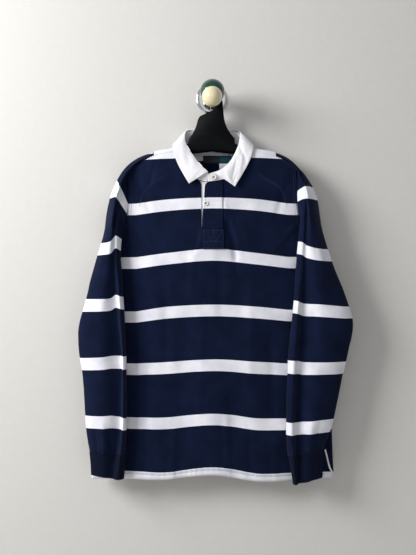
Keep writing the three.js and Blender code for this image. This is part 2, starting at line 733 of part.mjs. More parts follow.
function makeButton(radius, thick, x, y, z) {
  const profile = [
    [0, 0], [radius * 0.9, 0], [radius, thick * 0.35], [radius, thick * 0.75], [radius * 0.86, thick],
    [radius * 0.66, thick * 0.8], [0, thick * 0.75],
  ].map(([r, height]) => new THREE.Vector2(r, height));
  const geometry = new THREE.LatheGeometry(profile, 16);
  geometry.rotateX(Math.PI);
  geometry.translate(x, y, z);
  return geometry;
}

// Tape over the back neck seam, the blank label under it and a small tag
function innerBackStrip(x0, x1, z0, z1, columns, rows, inset) {
  const sheet = new Sheet();
  sheet.patch(columns, rows, (u, v) => {
    const place = backPoint(mix(x0, x1, u), mix(z0, z1, v));
    place.y -= jersey + inset;
    return place;
  });
  return sheet.wall(1);
}

// The hanger: a shoulder bar joined to a flat neck that ends in the hook
function hangerBar() {
  const around = 10;
  const points = [];
  const triangles = [];
  for (const section of hangerSections) {
    const middle = (section.top + section.foot) / 2;
    const tall = (section.top - section.foot) / 2;
    for (let step = 0; step < around; step += 1) {
      const angle = (2 * Math.PI * step) / around;
      const squareY = Math.sign(Math.cos(angle)) * Math.abs(Math.cos(angle)) ** 0.7;
      const squareZ = Math.sign(Math.sin(angle)) * Math.abs(Math.sin(angle)) ** 0.8;
      points.push(vector(section.x, hangerY + section.half * squareY, middle + tall * squareZ));
    }
  }
  const last = hangerSections.length - 1;
  for (let row = 0; row < last; row += 1) {
    for (let step = 0; step < around; step += 1) {
      const next = (step + 1) % around;
      const a = row * around + step;
      const b = row * around + next;
      triangles.push([a, b, b + around], [a, b + around, a + around]);
    }
  }
  for (let step = 1; step < around - 1; step += 1) {
    triangles.push([0, step + 1, step]);
    triangles.push([last * around, last * around + step, last * around + step + 1]);
  }
  return solidOf(points, triangles);
}

const hookMiddle = { x: 2.5, z: -22 };
const hookInner = 9.5;
const hookOuter = 25.5;
const hookTipAngle = 2.5;

function hangerNeck() {
  const outline = new THREE.Shape();
  outline.moveTo(hookMiddle.x + hookOuter, hookMiddle.z);
  outline.absarc(hookMiddle.x, hookMiddle.z, hookOuter, 0, hookTipAngle, false);
  outline.absarc(hookMiddle.x, hookMiddle.z, hookInner, hookTipAngle, 0, true);
  outline.quadraticCurveTo(11.5, -30, 6.5, -34);
  outline.lineTo(-2.3, -39);
  outline.lineTo(-25.4, -50);
  outline.quadraticCurveTo(-31, -55, -33, -65);
  outline.quadraticCurveTo(-37, -85, -52, -102.5);
  outline.lineTo(-56, -118);
  outline.lineTo(0, -122);
  outline.lineTo(56, -118);
  outline.lineTo(56, -103);
  outline.quadraticCurveTo(37, -84, 31.7, -59.6);
  outline.quadraticCurveTo(28.6, -40, 28, hookMiddle.z);
  outline.closePath();
  const plate = hangerPlate - 2;
  const geometry = new THREE.ExtrudeGeometry(outline, {
    depth: plate, curveSegments: 8, bevelEnabled: true, bevelThickness: 1, bevelSize: 1, bevelOffset: -1,
    bevelSegments: 1,
  });
  geometry.rotateX(Math.PI / 2);
  geometry.translate(0, hangerY + plate / 2, 0);
  return geometry;
}

// three.js geometry to a solid and back, for the one join
function toSolid(geometry) {
  const bare = geometry.clone();
  bare.deleteAttribute('normal');
  bare.deleteAttribute('uv');
  const merged = mergeVertices(bare, 0.0001);
  return new wasm.Manifold(new wasm.Mesh({
    numProp: 3, vertProperties: merged.attributes.position.array, triVerts: new Uint32Array(merged.index.array),
  }));
}

function fromSolid(solid) {
  const mesh = solid.getMesh();
  const geometry = new THREE.BufferGeometry();
  geometry.setAttribute('position', new THREE.BufferAttribute(mesh.vertProperties, 3));
  geometry.setIndex(new THREE.BufferAttribute(mesh.triVerts, 1));
  return geometry;
}

function makeHanger() {
  return fromSolid(toSolid(hangerBar()).add(toSolid(hangerNeck())));
}

function makePlate() {
  const profile = [
    [0, 0], [plateRadius, 0], [plateRadius, 1.5], [plateRadius - 2.5, 3.8], [plateRadius - 8, plateThick],
    [0, plateThick],
  ].map(([r, height]) => new THREE.Vector2(r, height));
  const geometry = new THREE.LatheGeometry(profile, 28);
  geometry.rotateX(Math.PI);
  return geometry;
}

function makeArm(places) {
  const circle = new THREE.Shape();
  circle.absarc(0, 0, armRadius, 0, 2 * Math.PI, false);
  return new THREE.ExtrudeGeometry(circle, {
    steps: 10, curveSegments: 5, bevelEnabled: false, extrudePath: new THREE.CatmullRomCurve3(places),
  });
}

function makeBall(ball) {
  const geometry = new THREE.SphereGeometry(ball.radius, 16, 10);
  geometry.rotateX(-Math.PI / 2);
  geometry.translate(ball.x, ball.y, ball.z);
  return geometry;
}

const armStart = -plateThick - seamGap;
const upperArm = [
  vector(1, armStart, 8.5), vector(2, -27, 8.5),
  vector(greenBall.x, greenBall.y + Math.sqrt(greenBall.radius ** 2 - 8.5 ** 2) + 1, 8.5),
];
const lowerArm = [
  vector(0.5, armStart, -18), vector(1, -20, -18), vector(1.5, -44, -18.5), vector(2, -57, -28),
  vector(2, -70, -37.5), vector(2, -84, -38.5), vector(2, -95, -31), vector(creamBall.x, -99.5, creamBall.z),
  vector(creamBall.x, creamBall.y + creamBall.radius + 0.7, creamBall.z),
];

const finishes = {
  navy: new THREE.MeshStandardMaterial({ color: 0x1d2342, roughness: 0.9, metalness: 0 }),
  white: new THREE.MeshStandardMaterial({ color: 0xe8e8ee, roughness: 0.9, metalness: 0 }),
  rib: new THREE.MeshStandardMaterial({ color: 0x1b2040, roughness: 0.95, metalness: 0 }),
  label: new THREE.MeshStandardMaterial({ color: 0x1f4a5c, roughness: 0.8, metalness: 0 }),
  rubber: new THREE.MeshStandardMaterial({ color: 0xe6e4dc, roughness: 0.6, metalness: 0 }),
  black: new THREE.MeshStandardMaterial({ color: 0x0c0d12, roughness: 0.55, metalness: 0 }),
  chrome: new THREE.MeshStandardMaterial({ color: 0xd8d8da, roughness: 0.12, metalness: 1 }),
  green: new THREE.MeshStandardMaterial({ color: 0x06452f, roughness: 0.15, metalness: 0 }),
  cream: new THREE.MeshStandardMaterial({ color: 0xe6dcb6, roughness: 0.2, metalness: 0 }),
};

const shirt = new THREE.Group();

function add(name, geometry, finish) {
  const mesh = new THREE.Mesh(geometry, finishes[finish]);
  mesh.name = name;
  shirt.add(mesh);
}

add('front', makeFront(), 'navy');
add('back', makeBack(), 'navy');
add('sleeve_left', makeSleeve(leftSleeve), 'navy');
add('sleeve_right', makeSleeve(rightSleeve), 'navy');
add('cuff_left', makeCuff(leftSleeve), 'rib');
add('cuff_right', makeCuff(rightSleeve), 'rib');
add('neckband', makeNeckband(), 'white');
add('collar', makeCollarLeaf(), 'white');
add('placket_over', makePlacketOver(), 'navy');
add('placket_under', makePlacketUnder(), 'white');
add('throat_patch', makeThroatPatch(), 'navy');
add('button_neck', makeButton(6.2, 2.8, 6.2, -75.5, -199), 'rubber');
add('button_placket', makeButton(5.4, 2.6, -12, -74.2, -259.5), 'rubber');
add('neck_tape', innerBackStrip(44, -44, -139.5, -129, 6, 1, 0.8), 'white');
add('label', innerBackStrip(49, -19, -158.5, -140.2, 6, 1, 0.8), 'label');
add('care_tag', innerBackStrip(42, 20, -172, -159, 2, 1, 0.8), 'white');
add('hanger', makeHanger(), 'black');
add('wall_plate', makePlate(), 'chrome');
add('arm_upper', makeArm(upperArm), 'chrome');
add('arm_lower', makeArm(lowerArm), 'chrome');
add('ball_green', makeBall(greenBall), 'green');
add('ball_cream', makeBall(creamBall), 'cream');

export default shirt;
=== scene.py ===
# A striped rugby shirt on a black hanger, hung from a round chrome wall hook with two balls.
# Metres, +Z up, +X to the right of someone who faces the wall, +Y into the wall.

import math

import bmesh
import bpy
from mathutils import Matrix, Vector, noise
from mathutils.bvhtree import BVHTree


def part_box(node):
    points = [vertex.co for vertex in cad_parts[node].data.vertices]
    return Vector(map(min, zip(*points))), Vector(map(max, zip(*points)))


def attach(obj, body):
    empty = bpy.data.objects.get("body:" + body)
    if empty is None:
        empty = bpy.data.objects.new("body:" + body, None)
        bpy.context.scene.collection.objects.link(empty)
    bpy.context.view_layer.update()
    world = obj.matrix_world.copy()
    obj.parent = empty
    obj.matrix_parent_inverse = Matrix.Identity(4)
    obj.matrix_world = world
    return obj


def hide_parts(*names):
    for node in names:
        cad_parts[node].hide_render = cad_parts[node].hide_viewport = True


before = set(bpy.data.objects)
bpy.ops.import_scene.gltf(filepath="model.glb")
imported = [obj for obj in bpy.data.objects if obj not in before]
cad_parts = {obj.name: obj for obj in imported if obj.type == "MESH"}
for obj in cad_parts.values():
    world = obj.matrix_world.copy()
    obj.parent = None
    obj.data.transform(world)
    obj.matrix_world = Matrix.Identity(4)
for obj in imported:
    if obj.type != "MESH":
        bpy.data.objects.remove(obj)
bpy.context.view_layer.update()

MM = 0.001
ROOT = "root"

# The photographer's place
VIEW_HEIGHT = -0.432
VIEW_SIDE = -0.0073
VIEW_DISTANCE = 1.9
LENS = 50.93

# Cloth
JERSEY = 1.6 * MM
TWILL = 1.4 * MM
TAPE = 1.0 * MM
RIDGE_Y = -0.037
STRIPE_SHARE = 0.213
LEFT_SLEEVE_FOOT = -0.842
RIGHT_SLEEVE_FOOT = -0.840
BACK_HEM_STITCH = -0.8935
SLEEVE_MIDDLE_X = 0.245
RIGHT_CUFF_X = 0.228
SLEEVE_MIDDLE_Y = -0.066
NECK_MIDDLE_Y = -0.042
MERGE_DISTANCE = 0.00002

# Tops of the white stripes on the body, read at these places across it
BODY_ACROSS = [-0.1765, -0.1013, 0.0068, 0.1055, 0.1807]
BODY_STRIPES = [
    {"name": "shoulder", "tops": [-0.1274, -0.1274, -0.1262, -0.1252, -0.1250]},
    {"name": "chest", "tops": [-0.2590, -0.2499, -0.2459, -0.2492, -0.2586]},
    {"name": "ribs", "tops": [-0.3845, -0.3747, -0.3650, -0.3747, -0.3838]},
    {"name": "waist", "tops": [-0.5119, -0.5004, -0.4954, -0.5001, -0.5079]},
    {"name": "hip", "tops": [-0.6341, -0.6299, -0.6233, -0.6289, -0.6341]},
    {"name": "seat", "tops": [-0.7610, -0.7596, -0.7504, -0.7615, -0.7633]},
    {"name": "hem", "tops": [-0.8877, -0.8888, -0.8761, -0.8914, -0.8921]},
    {"name": "below", "tops": [-1.0150, -1.0150, -1.0050, -1.0150, -1.0150]},
]

# The same on the sleeves, read at these places from the outer edge to the edge over the body
LEFT_ACROSS = [-0.300, -0.250, -0.232, -0.222, -0.208, -0.194]
LEFT_STRIPES = [
    {"name": "above", "white": 0.0, "tops": [-0.010, -0.030, -0.055, -0.075, -0.110, -0.140]},
    {"name": "upper arm", "white": 0.32, "tops": [-0.180, -0.190, -0.197, -0.203, -0.229, -0.262]},
    {"name": "above elbow", "tops": [-0.3535, -0.3520, -0.3483, -0.3352, -0.3425, -0.3450]},
    {"name": "elbow", "tops": [-0.4824, -0.4815, -0.4800, -0.4723, -0.4760, -0.4790]},
    {"name": "forearm", "tops": [-0.6193, -0.6160, -0.6136, -0.6136, -0.6140, -0.6150]},
    {"name": "wrist", "tops": [-0.7539, -0.7528, -0.7519, -0.7540, -0.7570, -0.7590]},
    {"name": "below", "tops": [-0.8900, -0.8900, -0.8900, -0.8900, -0.8900, -0.8900]},
]
RIGHT_ACROSS = [0.188, 0.200, 0.213, 0.222, 0.250, 0.310]
RIGHT_STRIPES = [
    {"name": "above", "white": 0.0, "tops": [-0.120, -0.100, -0.085, -0.070, -0.030, -0.010]},
    {"name": "upper arm", "tops": [-0.250, -0.232, -0.222, -0.219, -0.218, -0.215]},
    {"name": "above elbow", "tops": [-0.3440, -0.3475, -0.3509, -0.3582, -0.3657, -0.3665]},
    {"name": "elbow", "tops": [-0.4847, -0.4865, -0.4920, -0.4930, -0.4939, -0.4995]},
    {"name": "forearm", "tops": [-0.6238, -0.6250, -0.6282, -0.6282, -0.6277, -0.6277]},
    {"name": "wrist", "tops": [-0.7680, -0.7688, -0.7665, -0.7655, -0.7625, -0.7600]},
    {"name": "below", "tops": [-0.9050, -0.9050, -0.9050, -0.9050, -0.9050, -0.9050]},
]

# The placket
SLIT_FOOT = -0.315
FLY_STITCH_X = 0.0262
UNDER_RISE = 0.0007
PATCH = {"left": -0.0200, "right": 0.0300, "top": -0.3186, "foot": -0.3660}


def lerp(a, b, t):
    return a + (b - a) * t


def clamp(value, low=0.0, high=1.0):
    return max(low, min(high, value))


def between(places, values, at):
    """The value at a place, on a smooth line through the table's values."""
    last = len(places) - 1
    if at <= places[0]:
        return values[0]
    if at >= places[last]:
        return values[last]
    low = max(index for index in range(last) if places[index] < at)
    span = places[low + 1] - places[low]

    def slope(index):
        before, after = max(index - 1, 0), min(index + 1, last)
        return (values[after] - values[before]) / (places[after] - places[before]) * span

    share = (at - places[low]) / span
    rise = values[low + 1] - values[low]
    start, end = slope(low), slope(low + 1)
    return (values[low] + start * share + (3 * rise - 2 * start - end) * share ** 2
            + (start + end - 2 * rise) * share ** 3)


def stripe_count(stripes, across, x, z):
    """How many stripes lie above a point: 2.1 is just below the top of the third."""
    tops = [between(across, row["tops"], x) for row in stripes]
    if z >= tops[0]:
        return (tops[0] - z) / (tops[0] - tops[1])
    for index in range(1, len(tops)):
        if z >= tops[index]:
            return index - 1 + (tops[index - 1] - z) / (tops[index - 1] - tops[index])
    return len(tops) - 1


# Shader groups
def shader_group(name, inputs, outputs):
    group = bpy.data.node_groups.new(name, "ShaderNodeTree")
    for socket_name, value in inputs.items():
        socket = group.interface.new_socket(socket_name, in_out="INPUT", socket_type="NodeSocketFloat")
        socket.default_value = value
    for socket_name, kind in outputs.items():
        group.interface.new_socket(socket_name, in_out="OUTPUT", socket_type=kind)
    return group, group.nodes.new("NodeGroupInput"), group.nodes.new("NodeGroupOutput")


def math_node(tree, operation, first, second):
    node = tree.nodes.new("ShaderNodeMath")
    node.operation = operation
    for socket, value in zip(node.inputs, (first, second)):
        if isinstance(value, (int, float)):
            socket.default_value = value
        else:
            tree.links.new(value, socket)
    return node.outputs[0]


def knit_group():
    """Fine upright wales with a soft fuzz between them, and a slow change of shade."""
    tree, given, result = shader_group(
        "Knit", {"Wales": 900.0, "Fuzz": 0.35}, {"Height": "NodeSocketFloat", "Shade": "NodeSocketFloat"}
    )
    coordinate = tree.nodes.new("ShaderNodeTexCoord")
    wales = tree.nodes.new("ShaderNodeTexWave")
    wales.bands_direction = "X"
    wales.inputs["Distortion"].default_value = 1.2
    wales.inputs["Detail"].default_value = 2.0
    wales.inputs["Detail Scale"].default_value = 1.5
    courses = tree.nodes.new("ShaderNodeTexWave")
    courses.bands_direction = "Z"
    courses.inputs["Distortion"].default_value = 0.8
    fuzz = tree.nodes.new("ShaderNodeTexNoise")
    fuzz.inputs["Scale"].default_value = 1400.0
    fuzz.inputs["Detail"].default_value = 3.0
    patches = tree.nodes.new("ShaderNodeTexNoise")
    patches.inputs["Scale"].default_value = 26.0
    patches.inputs["Detail"].default_value = 4.0
    for texture in (wales, courses, fuzz, patches):
        tree.links.new(coordinate.outputs["Object"], texture.inputs["Vector"])
    tree.links.new(given.outputs["Wales"], wales.inputs["Scale"])
    tree.links.new(given.outputs["Wales"], courses.inputs["Scale"])
    loops = math_node(tree, "MULTIPLY", wales.outputs["Fac"], courses.outputs["Fac"])
    soft = math_node(tree, "MULTIPLY", fuzz.outputs["Fac"], given.outputs["Fuzz"])
    tree.links.new(math_node(tree, "ADD", loops, soft), result.inputs["Height"])
    spread = math_node(tree, "SUBTRACT", patches.outputs["Fac"], 0.5)
    tree.links.new(spread, result.inputs["Shade"])
    return tree


def twill_group():
    """Slanted ridges of a woven twill, with slubs."""
    tree, given, result = shader_group(
        "Twill", {"Ridges": 700.0}, {"Height": "NodeSocketFloat", "Shade": "NodeSocketFloat"}
    )
    coordinate = tree.nodes.new("ShaderNodeTexCoord")
    turn = tree.nodes.new("ShaderNodeMapping")
    turn.inputs["Rotation"].default_value = (0.0, math.radians(38), 0.0)
    ridges = tree.nodes.new("ShaderNodeTexWave")
    ridges.bands_direction = "X"
    ridges.inputs["Distortion"].default_value = 0.6
    slubs = tree.nodes.new("ShaderNodeTexNoise")
    slubs.inputs["Scale"].default_value = 240.0
    slubs.inputs["Detail"].default_value = 4.0
    tree.links.new(coordinate.outputs["Object"], turn.inputs["Vector"])
    tree.links.new(turn.outputs["Vector"], ridges.inputs["Vector"])
    tree.links.new(coordinate.outputs["Object"], slubs.inputs["Vector"])
    tree.links.new(given.outputs["Ridges"], ridges.inputs["Scale"])
    weave = math_node(tree, "ADD", ridges.outputs["Fac"], slubs.outputs["Fac"])
    tree.links.new(weave, result.inputs["Height"])
    tree.links.new(math_node(tree, "SUBTRACT", slubs.outputs["Fac"], 0.5), result.inputs["Shade"])
    return tree


KNIT = knit_group()
TWILL_WEAVE = twill_group()

NAVY = (0.0022, 0.0050, 0.0190)
NAVY_WORN = (0.0040, 0.0086, 0.0320)
WHITE = (0.80, 0.80, 0.85)
WHITE_WORN = (0.62, 0.63, 0.71)
RIB_NAVY = (0.0016, 0.0038, 0.0150)


def blank_material(name):
    material = bpy.data.materials.new(name)
    material.use_nodes = True
    tree = material.node_tree
    return material, tree, tree.nodes["Principled BSDF"]


def mixed(tree, factor, first, second):
    """Colour between two others; each is a plain colour or a socket."""
    node = tree.nodes.new("ShaderNodeMix")
    node.data_type = "RGBA"
    if isinstance(factor, float):
        node.inputs["Factor"].default_value = factor
    else:
        tree.links.new(factor, node.inputs["Factor"])
    for socket, value in ((node.inputs[6], first), (node.inputs[7], second)):
        if isinstance(value, tuple):
            socket.default_value = (*value, 1.0)
        else:
            tree.links.new(value, socket)
    return node.outputs[2]


def worn_factor(tree, shade, gain):
    """A shade around nought as a factor between 0 and 1."""
    spread = tree.nodes.new("ShaderNodeMapRange")
    spread.inputs["From Min"].default_value = -gain
    spread.inputs["From Max"].default_value = gain
    tree.links.new(shade, spread.inputs["Value"])
    return spread.outputs["Result"]


def bumped(tree, shader, height, distance, strength):
    bump = tree.nodes.new("ShaderNodeBump")
    bump.inputs["Distance"].default_value = distance
    bump.inputs["Strength"].default_value = strength
    tree.links.new(height, bump.inputs["Height"])
    tree.links.new(bump.outputs["Normal"], shader.inputs["Normal"])


def cloth_finish(shader, roughness, sheen):
    shader.inputs["Roughness"].default_value = roughness
    shader.inputs["Sheen Weight"].default_value = sheen
    shader.inputs["Sheen Roughness"].default_value = 0.55
    shader.inputs["Specular IOR Level"].default_value = 0.06


def striped_jersey():
    """Navy jersey with knitted white stripes, which follow the stripe attribute."""
    material, tree, shader = blank_material("striped_jersey")
    knit = tree.nodes.new("ShaderNodeGroup")
    knit.node_tree = KNIT
    count = tree.nodes.new("ShaderNodeAttribute")
    count.attribute_name = "stripe"
    fraction = math_node(tree, "FRACT", count.outputs["Fac"], 0.0)
    share = tree.nodes.new("ShaderNodeAttribute")
    share.attribute_name = "white_share"
    inside = math_node(tree, "LESS_THAN", fraction, share.outputs["Fac"])
    above = math_node(tree, "LESS_THAN", count.outputs["Fac"], 0.0)
    white_on = math_node(tree, "MAXIMUM", inside, above)
    worn = worn_factor(tree, knit.outputs["Shade"], 0.22)
    navy = mixed(tree, worn, NAVY, NAVY_WORN)
    white = mixed(tree, worn, WHITE_WORN, WHITE)
    tree.links.new(mixed(tree, white_on, navy, white), shader.inputs["Base Color"])
    bumped(tree, shader, knit.outputs["Height"], 0.0004, 0.35)
    cloth_finish(shader, 0.92, 0.03)
    return material


def plain_knit(name, dark, light, wales, distance):
    material, tree, shader = blank_material(name)
    knit = tree.nodes.new("ShaderNodeGroup")
    knit.node_tree = KNIT
    knit.inputs["Wales"].default_value = wales
    worn = worn_factor(tree, knit.outputs["Shade"], 0.22)
    tree.links.new(mixed(tree, worn, dark, light), shader.inputs["Base Color"])
    bumped(tree, shader, knit.outputs["Height"], distance, 0.5)
    cloth_finish(shader, 0.93, 0.03)
    return material


def twill_cloth(name, dark, light):
    material, tree, shader = blank_material(name)
    weave = tree.nodes.new("ShaderNodeGroup")
    weave.node_tree = TWILL_WEAVE
    worn = worn_factor(tree, weave.outputs["Shade"], 0.2)
    tree.links.new(mixed(tree, worn, dark, light), shader.inputs["Base Color"])
    bumped(tree, shader, weave.outputs["Height"], 0.0005, 0.45)
    cloth_finish(shader, 0.88, 0.04)
    return material


LABEL_SPLIT_X = 0.022
LABEL_GREY = (0.022, 0.027, 0.034)
LABEL_TEAL = (0.012, 0.062, 0.088)


def label_cloth():
    """Woven label, dark grey on its left two thirds and teal on the right."""
    material, tree, shader = blank_material("woven_label")
    coordinate = tree.nodes.new("ShaderNodeTexCoord")
    parts = tree.nodes.new("ShaderNodeSeparateXYZ")
    tree.links.new(coordinate.outputs["Object"], parts.inputs["Vector"])
    right = math_node(tree, "GREATER_THAN", parts.outputs["X"], LABEL_SPLIT_X)
    weave = tree.nodes.new("ShaderNodeGroup")
    weave.node_tree = TWILL_WEAVE
    weave.inputs["Ridges"].default_value = 1600.0
    colour = mixed(tree, right, LABEL_GREY, LABEL_TEAL)
    tree.links.new(colour, shader.inputs["Base Color"])
    bumped(tree, shader, weave.outputs["Height"], 0.0003, 0.4)
    cloth_finish(shader, 0.6, 0.05)
    return material


def moulded(name, dark, light, roughness, grain, depth):
    """Moulded plastic or rubber with a fine grain."""
    material, tree, shader = blank_material(name)
    coordinate = tree.nodes.new("ShaderNodeTexCoord")
    speck = tree.nodes.new("ShaderNodeTexNoise")
    speck.inputs["Scale"].default_value = grain
    speck.inputs["Detail"].default_value = 5.0
    tree.links.new(coordinate.outputs["Object"], speck.inputs["Vector"])
    tree.links.new(mixed(tree, speck.outputs["Fac"], dark, light), shader.inputs["Base Color"])
    rough = tree.nodes.new("ShaderNodeMapRange")
    rough.inputs["To Min"].default_value = roughness - 0.06
    rough.inputs["To Max"].default_value = roughness + 0.06
    tree.links.new(speck.outputs["Fac"], rough.inputs["Value"])
    tree.links.new(rough.outputs["Result"], shader.inputs["Roughness"])
    bumped(tree, shader, speck.outputs["Fac"], depth, 0.3)
    return material, shader


def chrome_metal():
    material, shader = moulded("chrome_metal", (0.72, 0.73, 0.75), (0.82, 0.82, 0.84), 0.12, 180.0, 0.00005)
    shader.inputs["Metallic"].default_value = 1.0
    return material


def matte_black():
    dark, light = (0.0008, 0.0011, 0.0019), (0.0018, 0.0024, 0.0038)
    material, shader = moulded("black_plastic", dark, light, 0.5, 700.0, 0.0002)
    shader.inputs["Specular IOR Level"].default_value = 0.08
    return material


def ball_resin(name, dark, light):
    material, shader = moulded(name, dark, light, 0.14, 30.0, 0.00002)
    shader.inputs["Coat Weight"].default_value = 0.6
    shader.inputs["Coat Roughness"].default_value = 0.05
    return material


STRIPED = striped_jersey()
NAVY_KNIT = plain_knit("navy_jersey", NAVY, NAVY_WORN, 900.0, 0.0004)
RIB_KNIT = plain_knit("navy_rib", RIB_NAVY, NAVY, 420.0, 0.0009)
WHITE_TWILL = twill_cloth("white_twill", (0.76, 0.76, 0.81), (0.84, 0.84, 0.88))
NAVY_TWILL = twill_cloth("navy_twill", NAVY, NAVY_WORN)
LABEL_CLOTH = label_cloth()
RUBBER = moulded("rubber_button", (0.62, 0.60, 0.55), (0.76, 0.74, 0.69), 0.5, 900.0, 0.0001)[0]
BLACK_PLASTIC = matte_black()
CHROME = chrome_metal()
GREEN_RESIN = ball_resin("green_resin", (0.0015, 0.030, 0.018), (0.003, 0.050, 0.030))
CREAM_RESIN = ball_resin("cream_resin", (0.62, 0.54, 0.33), (0.74, 0.67, 0.45))
NAVY_THREAD = plain_knit("navy_thread", (0.024, 0.036, 0.095), (0.040, 0.056, 0.140), 3000.0, 0.0001)
WHITE_THREAD = plain_knit("white_thread", (0.60, 0.61, 0.68), (0.80, 0.80, 0.85), 3000.0, 0.0001)


# Cloth pieces start from the outer faces of their CAD solids
def link(name, mesh):
    piece = bpy.data.objects.new(name, mesh)
    bpy.context.scene.collection.objects.link(piece)
    return piece


def islands(bm, faces):
    """Groups of faces that are joined by flat or gently bent edges."""
    left = set(faces)
    groups = []
    while left:
        start = left.pop()
        group = [start]
        queue = [start]
        while queue:
            face = queue.pop()
            for edge in face.edges:
                if edge.calc_face_angle(math.pi) > RIM_ANGLE:
                    continue
                for other in edge.link_faces:
                    if other in left:
                        left.remove(other)
                        group.append(other)
                        queue.append(other)
        groups.append(group)
    return groups


RIM_ANGLE = math.radians(62)
SMALLEST_GROUP = 0.07


def outer_faces(node, facing):
    """A bmesh of one CAD solid's outer side, as quads. facing says how far a face looks outwards."""
    bm = bmesh.new()
    bm.from_mesh(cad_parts[node].data)
    bmesh.ops.remove_doubles(bm, verts=bm.verts, dist=MERGE_DISTANCE)
    smallest = SMALLEST_GROUP * sum(face.calc_area() for face in bm.faces)
    keep = set()
    for group in islands(bm, bm.faces):
        area = sum(face.calc_area() for face in group)
        outward = sum(facing(face.calc_center_median(), face.normal) * face.calc_area() for face in group)
        if area > smallest and outward > 0:
            keep.update(group)
    bmesh.ops.delete(bm, geom=[face for face in bm.faces if face not in keep], context="FACES")
    bmesh.ops.join_triangles(
        bm, faces=bm.faces, angle_face_threshold=math.radians(50), angle_shape_threshold=math.radians(60)
    )
    return bm


def from_ridge(centre, normal):
    return normal.y * (centre.y - RIDGE_Y)


def from_middle(middle_x, middle_y):
    def facing(centre, normal):
        return normal.x * (centre.x - middle_x) + normal.y * (centre.y - middle_y)
    return facing


def from_front(_centre, normal):
    return -normal.y


def smooth_sheet(name, bm, levels):
    """The sheet with its faces divided and smoothed, as a bmesh."""
    mesh = bpy.data.meshes.new(name)
    bm.to_mesh(mesh)
    bm.free()
    draft = link(name, mesh)
    divide = draft.modifiers.new("divide", "SUBSURF")
    divide.levels = levels
    divide.render_levels = levels
    divide.boundary_smooth = "PRESERVE_CORNERS"
    graph = bpy.context.evaluated_depsgraph_get()
    smooth = bpy.data.meshes.new_from_object(draft.evaluated_get(graph))
    bpy.data.objects.remove(draft)
    bpy.data.meshes.remove(mesh)
    result = bmesh.new()
    result.from_mesh(smooth)
    bpy.data.meshes.remove(smooth)
    return result


def lift(bm, rise):
    """Moves each point out along its normal by rise(place)."""
    bm.normal_update()
    moves = [(vert, vert.normal * rise(vert.co)) for vert in bm.verts]
    for vert, move in moves:
        vert.co += move


def cloth_piece(name, bm, thickness, material, node, stripes=None, across=None):
    if stripes:
        layer = bm.verts.layers.float.new("stripe")
        white = bm.verts.layers.float.new("white_share")
        for vert in bm.verts:
            count = stripe_count(stripes, across, vert.co.x, vert.co.z)
            vert[layer] = count
            vert[white] = stripes[max(int(count), 0)].get("white", STRIPE_SHARE)
    mesh = bpy.data.meshes.new(name)
    bm.to_mesh(mesh)
    bm.free()
    for face in mesh.polygons:
        face.use_smooth = True
    piece = link(name, mesh)
    mesh.materials.append(material)
    wall = piece.modifiers.new("wall", "SOLIDIFY")
    wall.thickness = thickness
    wall.offset = -1.0
    wall.use_even_offset = False
    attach(piece, ROOT)
    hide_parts(node)
    return piece


# Folds and creases: a line of (x, z), its half width and its rise to the outside
FRONT_CREASES = [
    {"from": (-0.130, -0.160), "to": (-0.150, -0.236), "width": 0.005, "rise": -0.0019},
    {"from": (-0.172, -0.205), "to": (-0.140, -0.290), "width": 0.007, "rise": -0.0022},
    {"from": (-0.186, -0.300), "to": (-0.138, -0.352), "width": 0.006, "rise": 0.0020},
    {"from": (0.176, -0.215), "to": (0.150, -0.300), "width": 0.007, "rise": -0.0022},
    {"from": (0.196, -0.312), "to": (0.150, -0.366), "width": 0.007, "rise": 0.0022},
    {"from": (0.033, -0.255), "to": (0.036, -0.318), "width": 0.004, "rise": 0.0016},
    {"from": (0.036, -0.300), "to": (0.058, -0.385), "width": 0.006, "rise": -0.0030},
    {"from": (0.046, -0.292), "to": (0.072, -0.372), "width": 0.005, "rise": 0.0016},
    {"from": (-0.030, -0.322), "to": (-0.040, -0.372), "width": 0.005, "rise": -0.0020},
    {"from": (0.052, -0.335), "to": (0.060, -0.420), "width": 0.006, "rise": -0.0027},
    {"from": (-0.040, -0.360), "to": (-0.046, -0.470), "width": 0.009, "rise": 0.0017},
    {"from": (0.020, -0.380), "to": (0.024, -0.520), "width": 0.010, "rise": -0.0017},
    {"from": (-0.110, -0.420), "to": (-0.104, -0.640), "width": 0.012, "rise": -0.0020},
    {"from": (0.092, -0.450), "to": (0.088, -0.700), "width": 0.012, "rise": 0.0020},
    {"from": (-0.020, -0.560), "to": (-0.030, -0.780), "width": 0.010, "rise": 0.0015},
    {"from": (0.140, -0.560), "to": (0.146, -0.760), "width": 0.010, "rise": -0.0019},
    {"from": (-0.150, -0.640), "to": (-0.156, -0.880), "width": 0.011, "rise": -0.0020},
    {"from": (0.034, -0.740), "to": (0.040, -0.905), "width": 0.008, "rise": 0.0022},
    {"from": (0.088, -0.780), "to": (0.092, -0.910), "width": 0.007, "rise": -0.0020},
    {"from": (-0.086, -0.790), "to": (-0.090, -0.905), "width": 0.008, "rise": 0.0020},
    {"from": (0.150, -0.820), "to": (0.152, -0.910), "width": 0.006, "rise": 0.0019},
]
